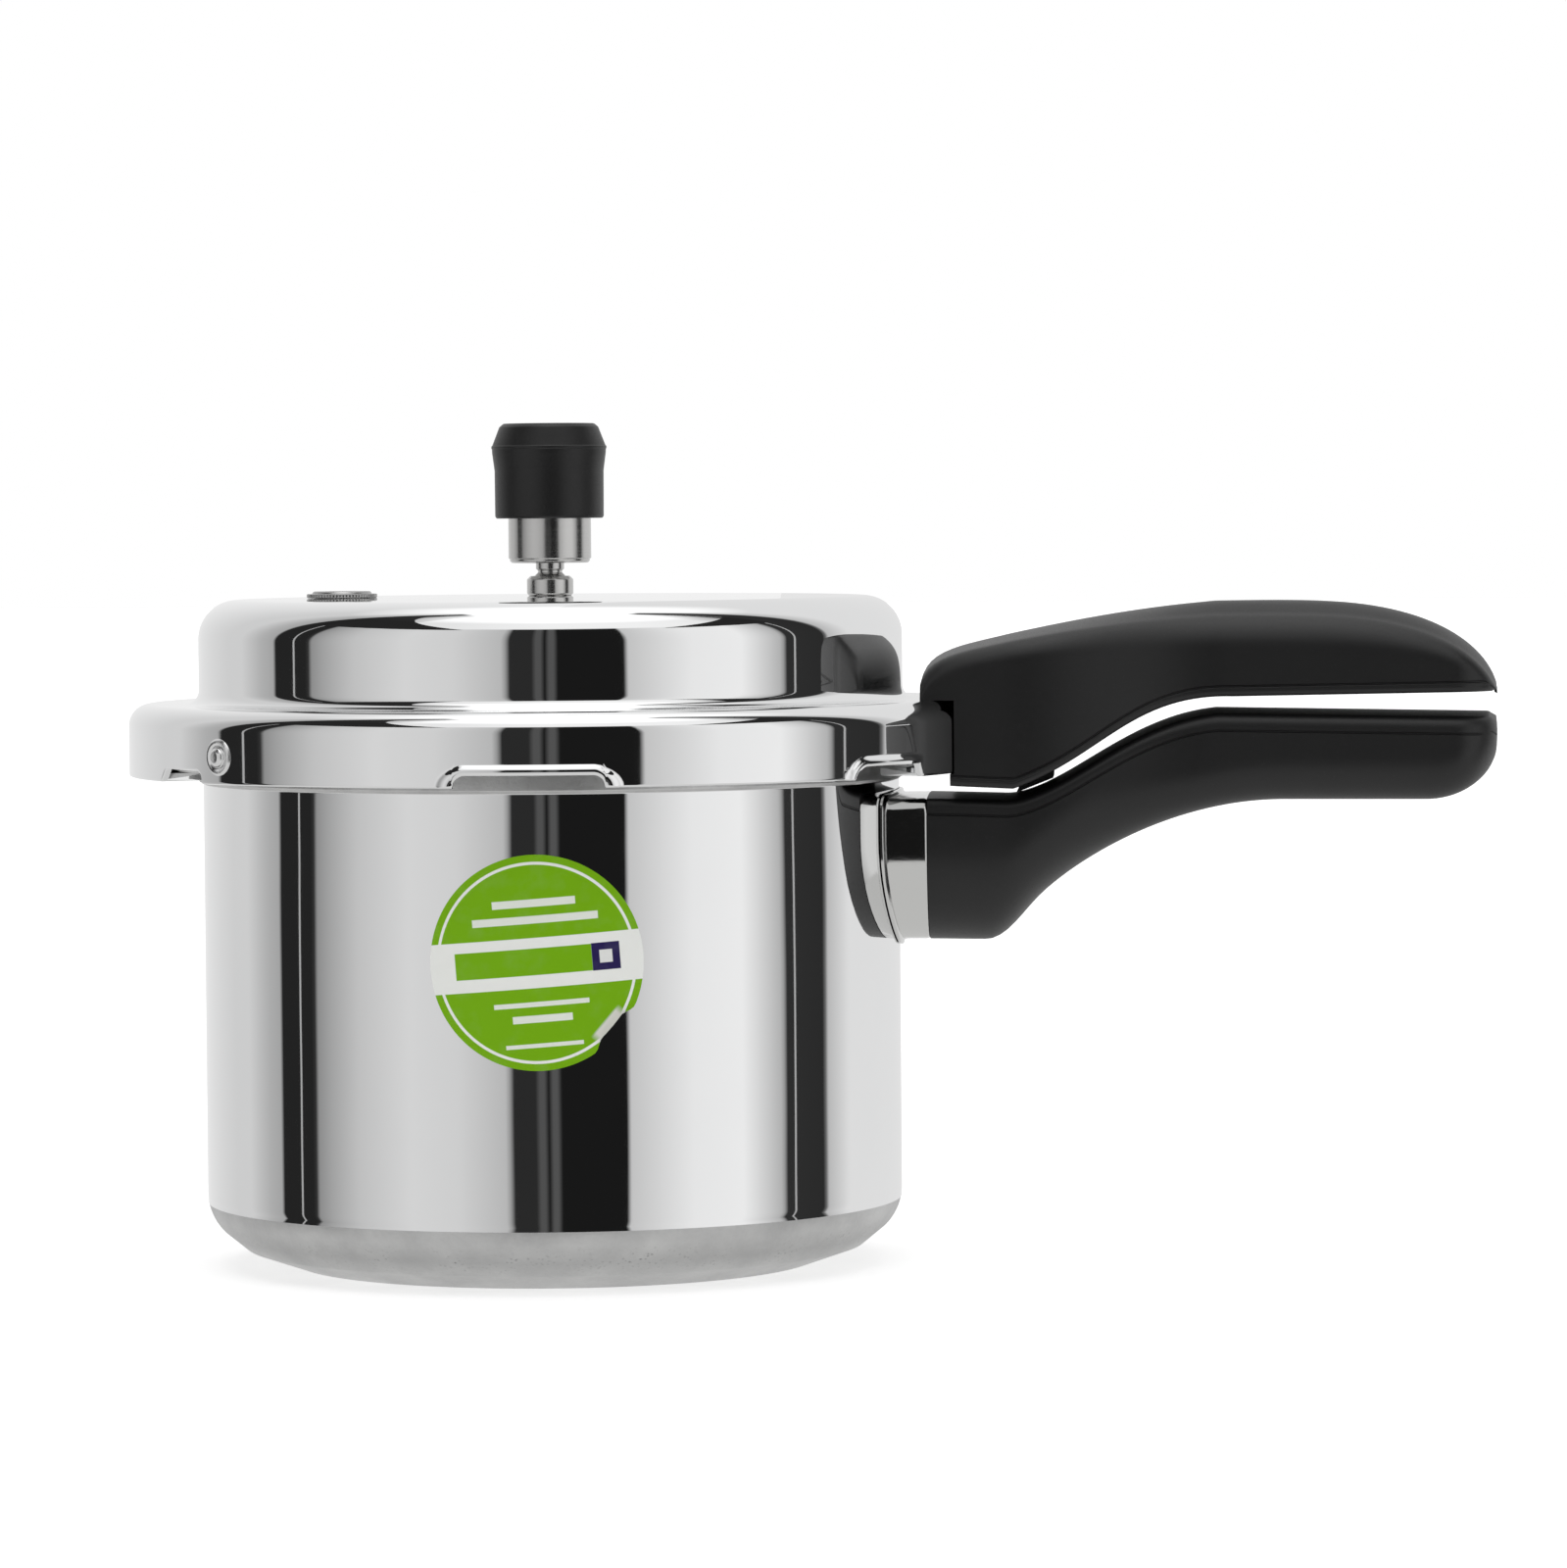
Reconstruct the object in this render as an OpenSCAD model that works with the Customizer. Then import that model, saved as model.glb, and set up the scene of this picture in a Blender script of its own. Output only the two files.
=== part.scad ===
// Stovetop pressure cooker with an outer twist-lock lid.
// Millimetres, +Z up, origin at the centre of the base, long handles along +X.

/* [Pot] */
// Outer radius of the pot
pot_r = 90; // [89:0.5:90]
// Wall thickness of the pot
pot_wall = 3; // [2.5:0.1:3]
// Height of the rim above the stove
rim_z = 139.5; // [139:0.1:139.5]
// Radius of the curve between wall and base
heel_r = 13.5; // [12:0.5:13.5]
// Radius of the flat foot that stands on the stove
foot_r = 67; // [60:1:68]
// Radius where the heel's bevel meets the sloping underside
shoulder_r = 80; // [76:1:80]
// Height of that shoulder
shoulder_z = 4.5; // [3:0.1:4.5]
// Height of the pot's floor
floor_z = 6; // [6:0.1:8]

/* [Lock] */
// Angle that the lid turns to unlock
turn_deg = 70; // [66:1:70]
// Width of one locking lug on the pot, as an angle
lug_deg = 67; // [40:1:67]
// Outer radius of the locking lugs
lug_r = 104.5; // [101:0.5:105]
// Thickness of the locking lugs
lug_t = 4; // [3:0.1:4]
// Running gap between lugs and lips
gap = 0.4; // [0.3:0.05:0.5]

/* [Lid] */
// Outer radius of the skirt
skirt_r = 109; // [108.5:0.5:109.5]
// Lower edge of the skirt
skirt_z = 127; // [126.5:0.1:127.2]
// Upper face of the flange
flange_z = 145.5; // [145.5:0.1:146]
// Radius of the flange's outer edge
edge_r = 5.5; // [4:0.5:6]
// Radius at the foot of the dome
dome_foot = 3; // [1:0.5:4]
// Outer radius of the dome
dome_r = 91; // [90.5:0.1:91]
// Top of the dome
top_z = 172.5; // [170:0.1:172.5]
// Radius of the dome's upper corner
dome_corner = 10; // [8:1:14]
// Thickness of the lid's sheet
sheet = 2; // [1.8:0.1:2]
// Width of the gasket release window
window_w = 37.5; // [30:0.5:42]
// Height of that window
window_h = 3.1; // [2:0.1:3.6]

/* [Handles] */
// Far end of both handles
handle_end = 243.8; // [225:0.1:250]
// Half width of the grips
grip_w = 17.5; // [15:0.5:20]
// Half width of the lid handle's root
lid_root_w = 30; // [28:0.5:30]
// Half width of the body handle's root
body_root_w = 26; // [24:0.5:27]
// Where the body handle meets its ferrule
ferrule_x = 98; // [97:0.5:99]

/* [Fittings] */
// Radius of the vent pipe's stem
stem_r = 3.65; // [3.4:0.05:3.8]
// Radius of the weight's metal body
weight_r = 10.7; // [10:0.1:11]
// Largest radius of the weight's cap
cap_r = 14.9; // [14:0.1:15.5]
// Place of the safety valve
valve_xy = [-55, 7]; // [-60:1:60]
// Radius of the safety valve's head
valve_r = 9.2; // [8:0.1:10]
// Radius of the round label
label_r = 26.7; // [20:0.1:28]

/* [Hidden] */
$fn = 96;
eps = 0.01;
far = 300;
// how far a cutting shape passes beyond the part it cuts
over = 5;

// pot
heel_z = 19;
inner_heel_r = 12;
band_r = pot_r + 1.2;
band_z = skirt_z - 1.8;
bore_r = pot_r - pot_wall;
crown = 0.5;
slack = 0.05;
rivet_yz = [[0, 90.5], [-13, 112], [13, 112]];
rivet_shank = 2.5;
rivet_head_r = 4.5;
rivet_tail_r = 4;
rivet_shank_x = [84, 92.6];
rivet_head_x = 83.4;
rivet_mid_x = 88;
rivet_tail_x = 93;

// lock: angles are counted anticlockwise from each handle axis
lip_t = 2;
lip_r = 96;
lip_start = -26;
lip_end = 30;
relief_start = -41.7;
relief_end = 41.8;
relief_z = skirt_z + 3.3;
lug_end = lip_start + turn_deg - 0.5;
lug_z = skirt_z + lip_t + gap;
stop_deg = 225.5;
stop_z = 133.9;
stop_pin_r = 2;
stop_pin_in = 99;
stop_ring_r = 4.65;
stop_ring_h = 0.6;
stop_head_r = 3.2;
stop_head_h = 1.6;

// lid
skirt_in = skirt_r - sheet;
roof_z = flange_z - sheet;
inner_edge = 1;
lid_top_in = top_z - sheet - crown;
window_deg = 271.9;
bead_h = 1;
bead_w = 4;
gasket_in = 84.6;
gasket_out = 91.5;
groove_rib = 1.4;
rib_low = rim_z + 2;
gasket_gap = 0.3;
gasket_lip = 1.2;
gasket_wall = 3.5;
crown_r = 20;

// handles
screw_x = 101;
screw_y = 14;
screw_r = 2.45;
screw_head_r = 3.5;
screw_head_h = 2.4;
slot_w = 1;
slot_h = 1.2;
hole_gap = 0.15;
notch_gap = 0.2;
lid_plan_x = 90;
lid_waist = [118, 175];
body_waist = [118, 170];
waist_ease = 15;
insert_r = 4;
insert_h = 5;
bracket_r = pot_r + 1.6;
bracket_low = 86;
bracket_high = 119;
bracket_inset = 1.6;
root_from = 80;
guard_t = 1.2;
guard_gap = 0.1;
tang_w = 8;
tang_from = pot_r + 0.8;
tang_x = 126;
tang_z = 96;
tang_h = 12;
tang_gap = 0.1;
tang_room = 0.5;
screw_hole_r = 3.1;
body_screw_x = 112;
body_screw_z = 85.6;
body_screw_r = 2.5;
body_screw_top = 112.3;
body_hole_top = 115;
body_head_r = 5;
body_head_h = 2.6;
head_gap = 0.6;
nut_r = 4.9;
nut_h = 5.4;
root_low = 83.2;
root_mid = 112;
root_high = 121;
root_corner = 4;
end_r = 12;
pad_w = 12;
pad_outline = [[120.5, 121.25], [130, 125], [130, 126.9], [121.5, 123.2]];

// label
label_t = 0.2;
label_z = 83.2;
label_deg = 2.2;

// vent and weight
collar_r = 6;
collar_h = 5.1;
vent_hole_r = 4.5;
vent_bore_r = 1.25;
vent_seat_r = 2.75;
vent_seat_h = 1.5;
vent_low = 160;
vent_nut_w = 15;
vent_nut_h = 4.4;
vent_washer_r = 8;
washer_t = 0.8;
stem_top = 194;
weight_z = 181;
weight_top = 212;
weight_bore_top = 203.5;
weight_pocket = 206;
weight_pocket_r = 5;
weight_port_z = 198;
weight_port_r = 1.6;
weight_clear = 0.75;
needle_clear = 0.5;
cap_z = 192.5;
cap_top = 217;
cap_neck_r = cap_r - 0.85;
needle_r = 2;
needle_head_r = 3.2;
needle_low = stem_top - 2.3;
clip_z = 206.2;
clip_r = 4.2;
clip_t = 0.7;

// safety valve
valve_shank_r = 6;
valve_plug_r = 3.5;
valve_low = 162;
valve_plug_low = 164;
valve_nut_z = 165;
valve_nut_w = 17;
valve_nut_h = 4;
valve_rim_h = 0.8;
valve_head_h = 1.4;
valve_step = 1.6;
valve_recess = 0.7;
valve_washer_r = 9;

// A block between two radii, two angles and two heights
module sector(r0, r1, a0, a1, z0, z1) {
    translate([0, 0, z0])
        rotate(a0)
            rotate_extrude(angle = a1 - a0)
                translate([r0, 0])
                    square([r1 - r0, z1 - z0]);
}

// A ring between two radii and two heights
module ring(r0, r1, z0, z1) {
    translate([0, 0, z0])
        difference() {
            cylinder(r = r1, h = z1 - z0);
            translate([0, 0, -1])
                cylinder(r = r0, h = z1 - z0 + 2);
        }
}

// Points on a cubic curve between a and d
function curve(a, b, c, d, n = 8) = [
    for (i = [0:n])
        let (t = i / n, u = 1 - t)
            u * u * u * a + 3 * u * u * t * b + 3 * u * t * t * c + t * t * t * d
];

// Half section of the pot's outside: foot, sloping underside, bevel and heel arc
module outer_section() {
    bevel = heel_r * cos(45);
    polygon([[0, 0], [foot_r, 0], [shoulder_r, shoulder_z], [pot_r - heel_r + bevel, heel_z - bevel],
             [pot_r - heel_r, heel_z], [0, heel_z]]);
    intersection() {
        translate([pot_r - heel_r, heel_z])
            circle(heel_r);
        translate([pot_r - heel_r, heel_z - bevel])
            square([heel_r, bevel]);
    }
    translate([0, heel_z])
        square([pot_r, rim_z - 1 - heel_z]);
}

// Half section of the pot's inside, with a rounded corner at the floor
module inner_section() {
    translate([0, floor_z])
        square([bore_r - inner_heel_r, inner_heel_r]);
    translate([bore_r - inner_heel_r, floor_z + inner_heel_r])
        circle(inner_heel_r);
    translate([0, floor_z + inner_heel_r])
        square([bore_r, rim_z]);
}

// Locking lugs on opposite sides of the rim
module lugs() {
    for (side = [0, 180])
        sector(bore_r + 1, lug_r, side + lug_end - lug_deg, side + lug_end, lug_z, lug_z + lug_t);
}

// A round bar along X at a rivet's place
module rivet_bar(p, r, x0, x1) {
    translate([x0, p[0], p[1]])
        rotate([0, 90, 0])
            cylinder(r = r, h = x1 - x0);
}

module pot_body() {
    color("silver")
        difference() {
            union() {
                rotate_extrude() {
                    outer_section();
                    translate([0, band_z])
                        square([band_r, rim_z - band_z]);
                }
                lugs();
            }
            rotate_extrude()
                inner_section();
            for (p = rivet_yz)
                rivet_bar(p, rivet_shank + slack, bore_r - over, pot_r + over);
        }
}

// The body handle's root section in the YZ plane: round below, square above
module root_section(inset) {
    w = body_root_w - inset;
    z_low = root_low + inset;
    z_mid = root_mid;
    z_high = root_high - inset;
    corner = root_corner;
    polygon(concat(
        [for (a = [180:10:360]) [w * cos(a), z_mid + (z_mid - z_low) * sin(a)]],
        [for (a = [0:30:90]) [w - corner + corner * cos(a), z_high - corner + corner * sin(a)]],
        [for (a = [90:30:180]) [corner - w + corner * cos(a), z_high - corner + corner * sin(a)]]
    ));
}

// Turns a YZ section into a bar along X
module along_x(x0, x1) {
    translate([x0, 0, 0])
        rotate([90, 0, 90])
            linear_extrude(x1 - x0)
                children();
}

// Turns an XZ outline into a slab of the given half width
module across_y(half) {
    translate([0, half, 0])
        rotate([90, 0, 0])
            linear_extrude(2 * half)
                children();
}

module body_bracket() {
    color("gainsboro")
        difference() {
            union() {
                intersection() {
                    ring(pot_r + slack, bracket_r, bracket_low, bracket_high);
                    along_x(root_from, ferrule_x)
                        root_section(bracket_inset);
                }
                translate([tang_from, -tang_w, tang_z])
                    cube([tang_x - tang_from, 2 * tang_w, tang_h]);
            }
            translate([body_screw_x, 0, tang_z - over])
                cylinder(r = screw_hole_r, h = tang_h + 2 * over);
            for (p = rivet_yz)
                rivet_bar(p, rivet_shank + slack, root_from, ferrule_x);
        }
}

module bracket_rivets() {
    color("silver")
        for (p = rivet_yz) {
            rivet_bar(p, rivet_shank, rivet_shank_x[0], rivet_shank_x[1]);
            intersection() {
                rivet_bar(p, rivet_head_r, rivet_head_x, rivet_mid_x);
                cylinder(r = bore_r - slack, h = far);
            }
            difference() {
                rivet_bar(p, rivet_tail_r, rivet_mid_x, rivet_tail_x);
                cylinder(r = bracket_r + slack, h = far);
            }
        }
}

module flame_guard() {
    color("gainsboro")
        difference() {
            along_x(root_from, ferrule_x)
                root_section(0);
            along_x(root_from - over, ferrule_x + over)
                root_section(guard_t);
            cylinder(r = pot_r + guard_gap, h = far);
        }
}

// Side outline of the body handle
body_outline = concat(
    [[ferrule_x, 83]],
    [[ferrule_x, 121]],
    curve([119, 120.5], [134, 122.5], [149, 140.5], [172, 142.6]),
    [[handle_end - 2, 141.2]],
    curve([handle_end, 139], [handle_end, 127], [236, 119], [226, 118.8]),
    curve([190, 119], [158, 119.5], [131.5, 100.9], [124.3, 92.5], 10),
    curve([124.3, 92.5], [120.5, 88.2], [116.5, 82.8], [111, 82.8])
);

// Plan of a handle: wide at the root, narrow at the grip, round at the end
module handle_plan(x0, root_w, x1, x2) {
    side = concat(
        [[x0, root_w]],
        curve([x1, root_w], [x1 + waist_ease, root_w], [x2 - waist_ease, grip_w], [x2, grip_w]),
        [for (a = [90:-15:0]) [handle_end - end_r + end_r * cos(a), grip_w - end_r + end_r * sin(a)]]
    );
    polygon(concat(side, [for (i = [len(side) - 1:-1:0]) [side[i][0], -side[i][1]]]));
}

module body_handle() {
    color("#161617")
        difference() {
            intersection() {
                across_y(body_root_w + 1)
                    polygon(body_outline);
                linear_extrude(far)
                    handle_plan(ferrule_x, body_root_w, body_waist[0], body_waist[1]);
            }
            // slot for the bracket's tang
            translate([ferrule_x - over, -tang_w - tang_gap, tang_z - tang_gap])
                cube([tang_x - ferrule_x + over + tang_room, 2 * (tang_w + tang_gap), tang_h + 2 * tang_gap]);
            // screw hole with its counterbore, and the nut's seat above the tang
            translate([body_screw_x, 0, 0])
                cylinder(r = screw_hole_r, h = body_hole_top);
            translate([body_screw_x, 0, 0])
                cylinder(r = body_head_r + head_gap, h = body_screw_z + body_head_h);
            translate([body_screw_x, 0, tang_z + tang_h])
                cylinder(r = nut_r + tang_gap, h = nut_h + head_gap);
        }
}

module body_handle_screw() {
    color("lightgray")
        translate([body_screw_x, 0, body_screw_z])
            difference() {
                union() {
                    cylinder(r = body_head_r, h = body_head_h);
                    cylinder(r = body_screw_r, h = body_screw_top - body_screw_z);
                }
                translate([-body_head_r - 1, -slot_w / 2, -eps])
                    cube([2 * body_head_r + 2, slot_w, slot_h]);
            }
}

module body_handle_nut() {
    color("goldenrod")
        translate([body_screw_x, 0, tang_z + tang_h + tang_gap])
            difference() {
                cylinder(r = nut_r, h = nut_h);
                translate([0, 0, -1])
                    cylinder(r = body_screw_r + slack, h = nut_h + 2);
            }
}

// Block under the lid handle that stops the handles being squeezed together
module handle_stop_pad() {
    color("#101010")
        across_y(pad_w)
            polygon(pad_outline);
}

module label() {
    color("yellowgreen")
        intersection() {
            ring(pot_r + eps, pot_r + eps + label_t, label_z - label_r - 1, label_z + label_r + 1);
            translate([0, 0, label_z])
                rotate([90, 0, label_deg])
                    cylinder(r = label_r, h = far);
        }
}

// Half section of the lid's outside: skirt, round flange edge, foot of the dome, crowned dome
module lid_section() {
    corner_z = top_z - crown - dome_corner;
    translate([0, skirt_z])
        square([skirt_r, flange_z - edge_r - skirt_z]);
    translate([0, flange_z - edge_r])
        square([skirt_r - edge_r, edge_r]);
    translate([skirt_r - edge_r, flange_z - edge_r])
        circle(edge_r);
    translate([0, flange_z])
        difference() {
            square([dome_r + dome_foot, dome_foot]);
            translate([dome_r + dome_foot, dome_foot])
                circle(dome_foot);
        }
    translate([0, flange_z])
        square([dome_r, corner_z - flange_z]);
    translate([dome_r - dome_corner, corner_z])
        circle(dome_corner);
    polygon([[0, flange_z], [0, top_z], [crown_r, top_z], [dome_r - dome_corner, top_z - crown],
             [dome_r - dome_corner, flange_z]]);
}

// Half section of the room under the lid
module lid_room() {
    in_r = dome_r - sheet;
    in_corner = dome_corner - sheet;
    translate([0, skirt_z - over])
        square([skirt_in, roof_z - inner_edge - skirt_z + over]);
    translate([0, roof_z - inner_edge - 1])
        square([skirt_in - inner_edge, inner_edge + 1]);
    translate([skirt_in - inner_edge, roof_z - inner_edge])
        circle(inner_edge);
    translate([0, roof_z - 1])
        square([in_r, lid_top_in - in_corner - roof_z + 1]);
    translate([in_r - in_corner, lid_top_in - in_corner])
        circle(in_corner);
    translate([0, roof_z])
        square([in_r - in_corner, lid_top_in - roof_z]);
}

module lid_shell() {
    color("whitesmoke")
        difference() {
            union() {
                difference() {
                    union() {
                        rotate_extrude()
                            lid_section();
                        // raised border of the gasket release window
                        intersection() {
                            ring(skirt_r - 1, skirt_r + bead_h, skirt_z, skirt_z + window_h + bead_w / 2);
                            rotate(window_deg)
                                translate([skirt_r - over, -window_w / 2 - bead_w, skirt_z])
                                    cube([2 * over, window_w + 2 * bead_w, window_h + bead_w]);
                        }
                    }
                    rotate_extrude()
                        lid_room();
                }
                // inward lips that turn under the pot's lugs, and the rib that holds the gasket
                for (side = [0, 180])
                    sector(lip_r, skirt_in + 1, side + lip_start - 1, side + lip_end + 1,
                           skirt_z, skirt_z + lip_t);
                ring(gasket_out + slack, gasket_out + groove_rib, rib_low, roof_z + sheet / 2);
            }
            // reliefs at both ends of each lip
            for (side = [0, 180]) {
                sector(lip_r - 1, skirt_r + 2, side + relief_start, side + lip_start, skirt_z - 1, relief_z);
                sector(lip_r - 1, skirt_r + 2, side + lip_end, side + relief_end, skirt_z - 1, relief_z);
            }
            rotate(window_deg)
                translate([skirt_in - over, -window_w / 2, skirt_z - over])
                    cube([sheet + 2 * over, window_w, window_h + over]);
            // holes for the fittings
            cylinder(r = vent_hole_r, h = far);
            translate([valve_xy[0], valve_xy[1], roof_z + over])
                cylinder(r = valve_shank_r, h = far);
            rotate(stop_deg)
                translate([skirt_in - over, 0, stop_z])
                    rotate([0, 90, 0])
                        cylinder(r = stop_pin_r, h = sheet + 2 * over);
            for (y = [-screw_y, screw_y])
                translate([screw_x, y, roof_z - over])
                    cylinder(r = screw_r + hole_gap, h = sheet + 2 * over);
        }
}

module gasket() {
    color("#202020")
        difference() {
            ring(gasket_in, gasket_out, rim_z + gasket_gap, roof_z);
            ring(gasket_in - over, gasket_out - gasket_wall,
                 rim_z + gasket_gap + gasket_lip, roof_z - gasket_lip);
        }
}

module lid_stop_rivet() {
    color("whitesmoke")
        rotate(stop_deg)
            translate([0, 0, stop_z])
                rotate([0, 90, 0]) {
                    translate([0, 0, stop_pin_in])
                        cylinder(r = stop_pin_r - slack, h = skirt_r - stop_pin_in);
                    translate([0, 0, skirt_r])
                        cylinder(r = stop_ring_r, h = stop_ring_h);
                    translate([0, 0, skirt_r])
                        cylinder(r = stop_head_r, h = stop_head_h);
                }
}

// Side outline of the lid handle, from its nose to the heel under the skirt
lid_outline = concat(
    [[96.4, 145.5]],
    curve([96.4, 150.5], [97.5, 158], [107, 159], [119, 161.9], 6),
    curve([131, 164.4], [150, 168.4], [172, 170], [190, 170]),
    curve([205.3, 169.4], [229, 167.2], [241, 158], [handle_end, 148.7]),
    [[handle_end - 1.5, 146.5]],
    curve([176, 145.7], [150, 146.5], [143, 131], [120.2, 122.9]),
    [[106, 123.5], [104, 125.5], [104, 127.5]]
);

module lid_handle() {
    color("#161617")
        difference() {
            intersection() {
                across_y(lid_root_w + 1)
                    polygon(lid_outline);
                linear_extrude(far)
                    handle_plan(lid_plan_x, lid_root_w, lid_waist[0], lid_waist[1]);
            }
            // notch that takes the edge of the lid
            translate([0, 0, skirt_z - notch_gap])
                cylinder(r = skirt_r + notch_gap, h = flange_z - skirt_z + notch_gap);
            for (y = [-screw_y, screw_y])
                translate([screw_x, y, roof_z])
                    cylinder(r = insert_r, h = sheet + insert_h);
        }
}

module lid_handle_screws() {
    color("lightgray")
        for (y = [-screw_y, screw_y])
            translate([screw_x, y, roof_z - screw_head_h])
                difference() {
                    union() {
                        cylinder(r = screw_head_r, h = screw_head_h);
                        cylinder(r = screw_r, h = screw_head_h + sheet + insert_h - 1);
                    }
                    translate([-screw_head_r - 1, -slot_w / 2, -eps])
                        cube([2 * screw_head_r + 2, slot_w, slot_h]);
                }
}

module lid_handle_inserts() {
    color("goldenrod")
        for (y = [-screw_y, screw_y])
            translate([screw_x, y, flange_z])
                difference() {
                    cylinder(r = insert_r, h = insert_h);
                    translate([0, 0, -1])
                        cylinder(r = screw_r + slack, h = insert_h + 2);
                }
}

module vent_pipe() {
    color("silver")
        difference() {
            union() {
                translate([0, 0, vent_low])
                    cylinder(r = vent_hole_r - slack, h = top_z - vent_low + 1);
                translate([0, 0, top_z])
                    cylinder(r = collar_r, h = collar_h);
                translate([0, 0, top_z])
                    cylinder(r = stem_r, h = stem_top - top_z);
            }
            translate([0, 0, vent_low - 1])
                cylinder(r = vent_bore_r, h = far);
            translate([0, 0, stem_top - vent_seat_h])
                cylinder(r1 = vent_bore_r, r2 = vent_seat_r, h = vent_seat_h + eps);
        }
}

// Hexagonal nut with a plain bore
module hex_nut(across, bore, h) {
    difference() {
        cylinder(r = across / sqrt(3), h = h, $fn = 6);
        translate([0, 0, -1])
            cylinder(r = bore, h = h + 2);
    }
}

module vent_nut() {
    color("silver")
        translate([0, 0, lid_top_in - washer_t - vent_nut_h])
            hex_nut(vent_nut_w, vent_hole_r, vent_nut_h);
}

module vent_washer() {
    color("#303030")
        ring(vent_hole_r, vent_washer_r, lid_top_in - washer_t, lid_top_in);
}

module at_valve() {
    translate([valve_xy[0], valve_xy[1], 0])
        children();
}

module safety_valve_body() {
    color("silver")
        at_valve()
            difference() {
                union() {
                    translate([0, 0, top_z])
                        cylinder(r = valve_r, h = valve_rim_h);
                    translate([0, 0, top_z])
                        cylinder(r = valve_r - valve_step, h = valve_head_h);
                    translate([0, 0, valve_low])
                        cylinder(r = valve_shank_r - slack, h = top_z - valve_low);
                }
                translate([0, 0, valve_low - 1])
                    cylinder(r = valve_plug_r, h = far);
            }
}

module safety_valve_plug() {
    color("darkgray")
        at_valve()
            translate([0, 0, valve_plug_low])
                cylinder(r = valve_plug_r - slack, h = top_z + valve_head_h - valve_recess - valve_plug_low);
}

module safety_valve_nut() {
    color("silver")
        at_valve()
            translate([0, 0, valve_nut_z])
                hex_nut(valve_nut_w, valve_shank_r, valve_nut_h);
}

module safety_valve_washer() {
    color("#303030")
        at_valve()
            ring(valve_shank_r, valve_washer_r, valve_nut_z + valve_nut_h, lid_top_in);
}

// Needle: a cone that closes the vent, a shank, and the neck that the clip sits in
module weight_needle() {
    neck_r = needle_r - 0.55;
    top = clip_z + 2.8;
    color("gold")
        rotate_extrude()
            polygon([[0, needle_low], [0, top], [needle_r, top], [needle_r, clip_z + clip_t],
                     [neck_r, clip_z + clip_t], [neck_r, clip_z], [needle_r, clip_z],
                     [needle_r, weight_bore_top - 0.3], [needle_head_r, weight_bore_top - 0.3],
                     [needle_head_r, stem_top + 4], [needle_r + 0.4, stem_top + 3],
                     [needle_r + 0.4, stem_top + 0.1]]);
}

module weight_body() {
    color("silver")
        difference() {
            translate([0, 0, weight_z])
                cylinder(r = weight_r, h = weight_top - weight_z);
            translate([0, 0, weight_z - 1])
                cylinder(r = stem_r + weight_clear, h = weight_bore_top - weight_z + 1);
            translate([0, 0, weight_bore_top - 1])
                cylinder(r = needle_r + needle_clear, h = far);
            translate([0, 0, weight_pocket])
                cylinder(r = weight_pocket_r, h = far);
            for (a = [0:90:270])
                rotate(a)
                    translate([0, 0, weight_port_z])
                        rotate([0, 90, 0])
                            cylinder(r = weight_port_r, h = far);
        }
}

module weight_cap() {
    skin_z = weight_bore_top + 0.5;
    color("#161617")
        rotate_extrude()
            polygon([[weight_r + slack, skin_z], [weight_r + slack, weight_top], [0, weight_top],
                     [0, cap_top], [12, cap_top], [12.8, cap_top - 0.8], [cap_r, cap_top - 5.2],
                     [cap_r, cap_top - 6], [cap_neck_r, cap_top - 9], [cap_neck_r, cap_z + 0.5],
                     [cap_neck_r - 0.45, cap_z], [12.6, cap_z], [12.4, skin_z - 1], [11.6, skin_z]]);
}

module weight_clip() {
    color("gainsboro")
        ring(needle_r - 0.5, clip_r, clip_z + 0.1, clip_z + clip_t - 0.1);
}

pot_body();
body_bracket();
bracket_rivets();
flame_guard();
body_handle();
body_handle_screw();
body_handle_nut();
handle_stop_pad();
label();
lid_shell();
gasket();
lid_stop_rivet();
lid_handle();
lid_handle_screws();
lid_handle_inserts();
vent_pipe();
vent_nut();
vent_washer();
safety_valve_body();
safety_valve_plug();
safety_valve_nut();
safety_valve_washer();
weight_needle();
weight_body();
weight_cap();
weight_clip();
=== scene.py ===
"""Looks of the stovetop pressure cooker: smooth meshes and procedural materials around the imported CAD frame.

Lengths are written in millimetres and turned into metres by make_mesh().
"""
import math

import bmesh
import bpy
import numpy as np
from mathutils import Matrix, Vector


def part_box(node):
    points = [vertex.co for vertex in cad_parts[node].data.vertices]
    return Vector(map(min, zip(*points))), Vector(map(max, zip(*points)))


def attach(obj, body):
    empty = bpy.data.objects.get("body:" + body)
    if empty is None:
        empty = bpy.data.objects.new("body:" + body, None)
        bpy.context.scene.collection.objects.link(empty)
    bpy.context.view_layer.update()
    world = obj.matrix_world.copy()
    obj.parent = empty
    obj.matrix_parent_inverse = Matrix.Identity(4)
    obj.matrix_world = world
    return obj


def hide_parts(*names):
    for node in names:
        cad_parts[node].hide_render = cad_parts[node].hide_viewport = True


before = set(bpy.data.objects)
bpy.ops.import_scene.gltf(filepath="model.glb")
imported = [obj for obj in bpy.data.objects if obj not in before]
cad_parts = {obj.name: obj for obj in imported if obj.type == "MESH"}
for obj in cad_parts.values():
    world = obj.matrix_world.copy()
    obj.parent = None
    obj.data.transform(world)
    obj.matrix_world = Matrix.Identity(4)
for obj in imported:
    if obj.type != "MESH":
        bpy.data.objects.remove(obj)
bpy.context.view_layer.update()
MM = 0.001


def box_mm(node):
    """A CAD node's lowest and highest corner at rest, in millimetres."""
    low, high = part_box(node)
    return Vector(low) / MM, Vector(high) / MM


# ---------------------------------------------------------------- sizes, from the CAD frame

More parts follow.
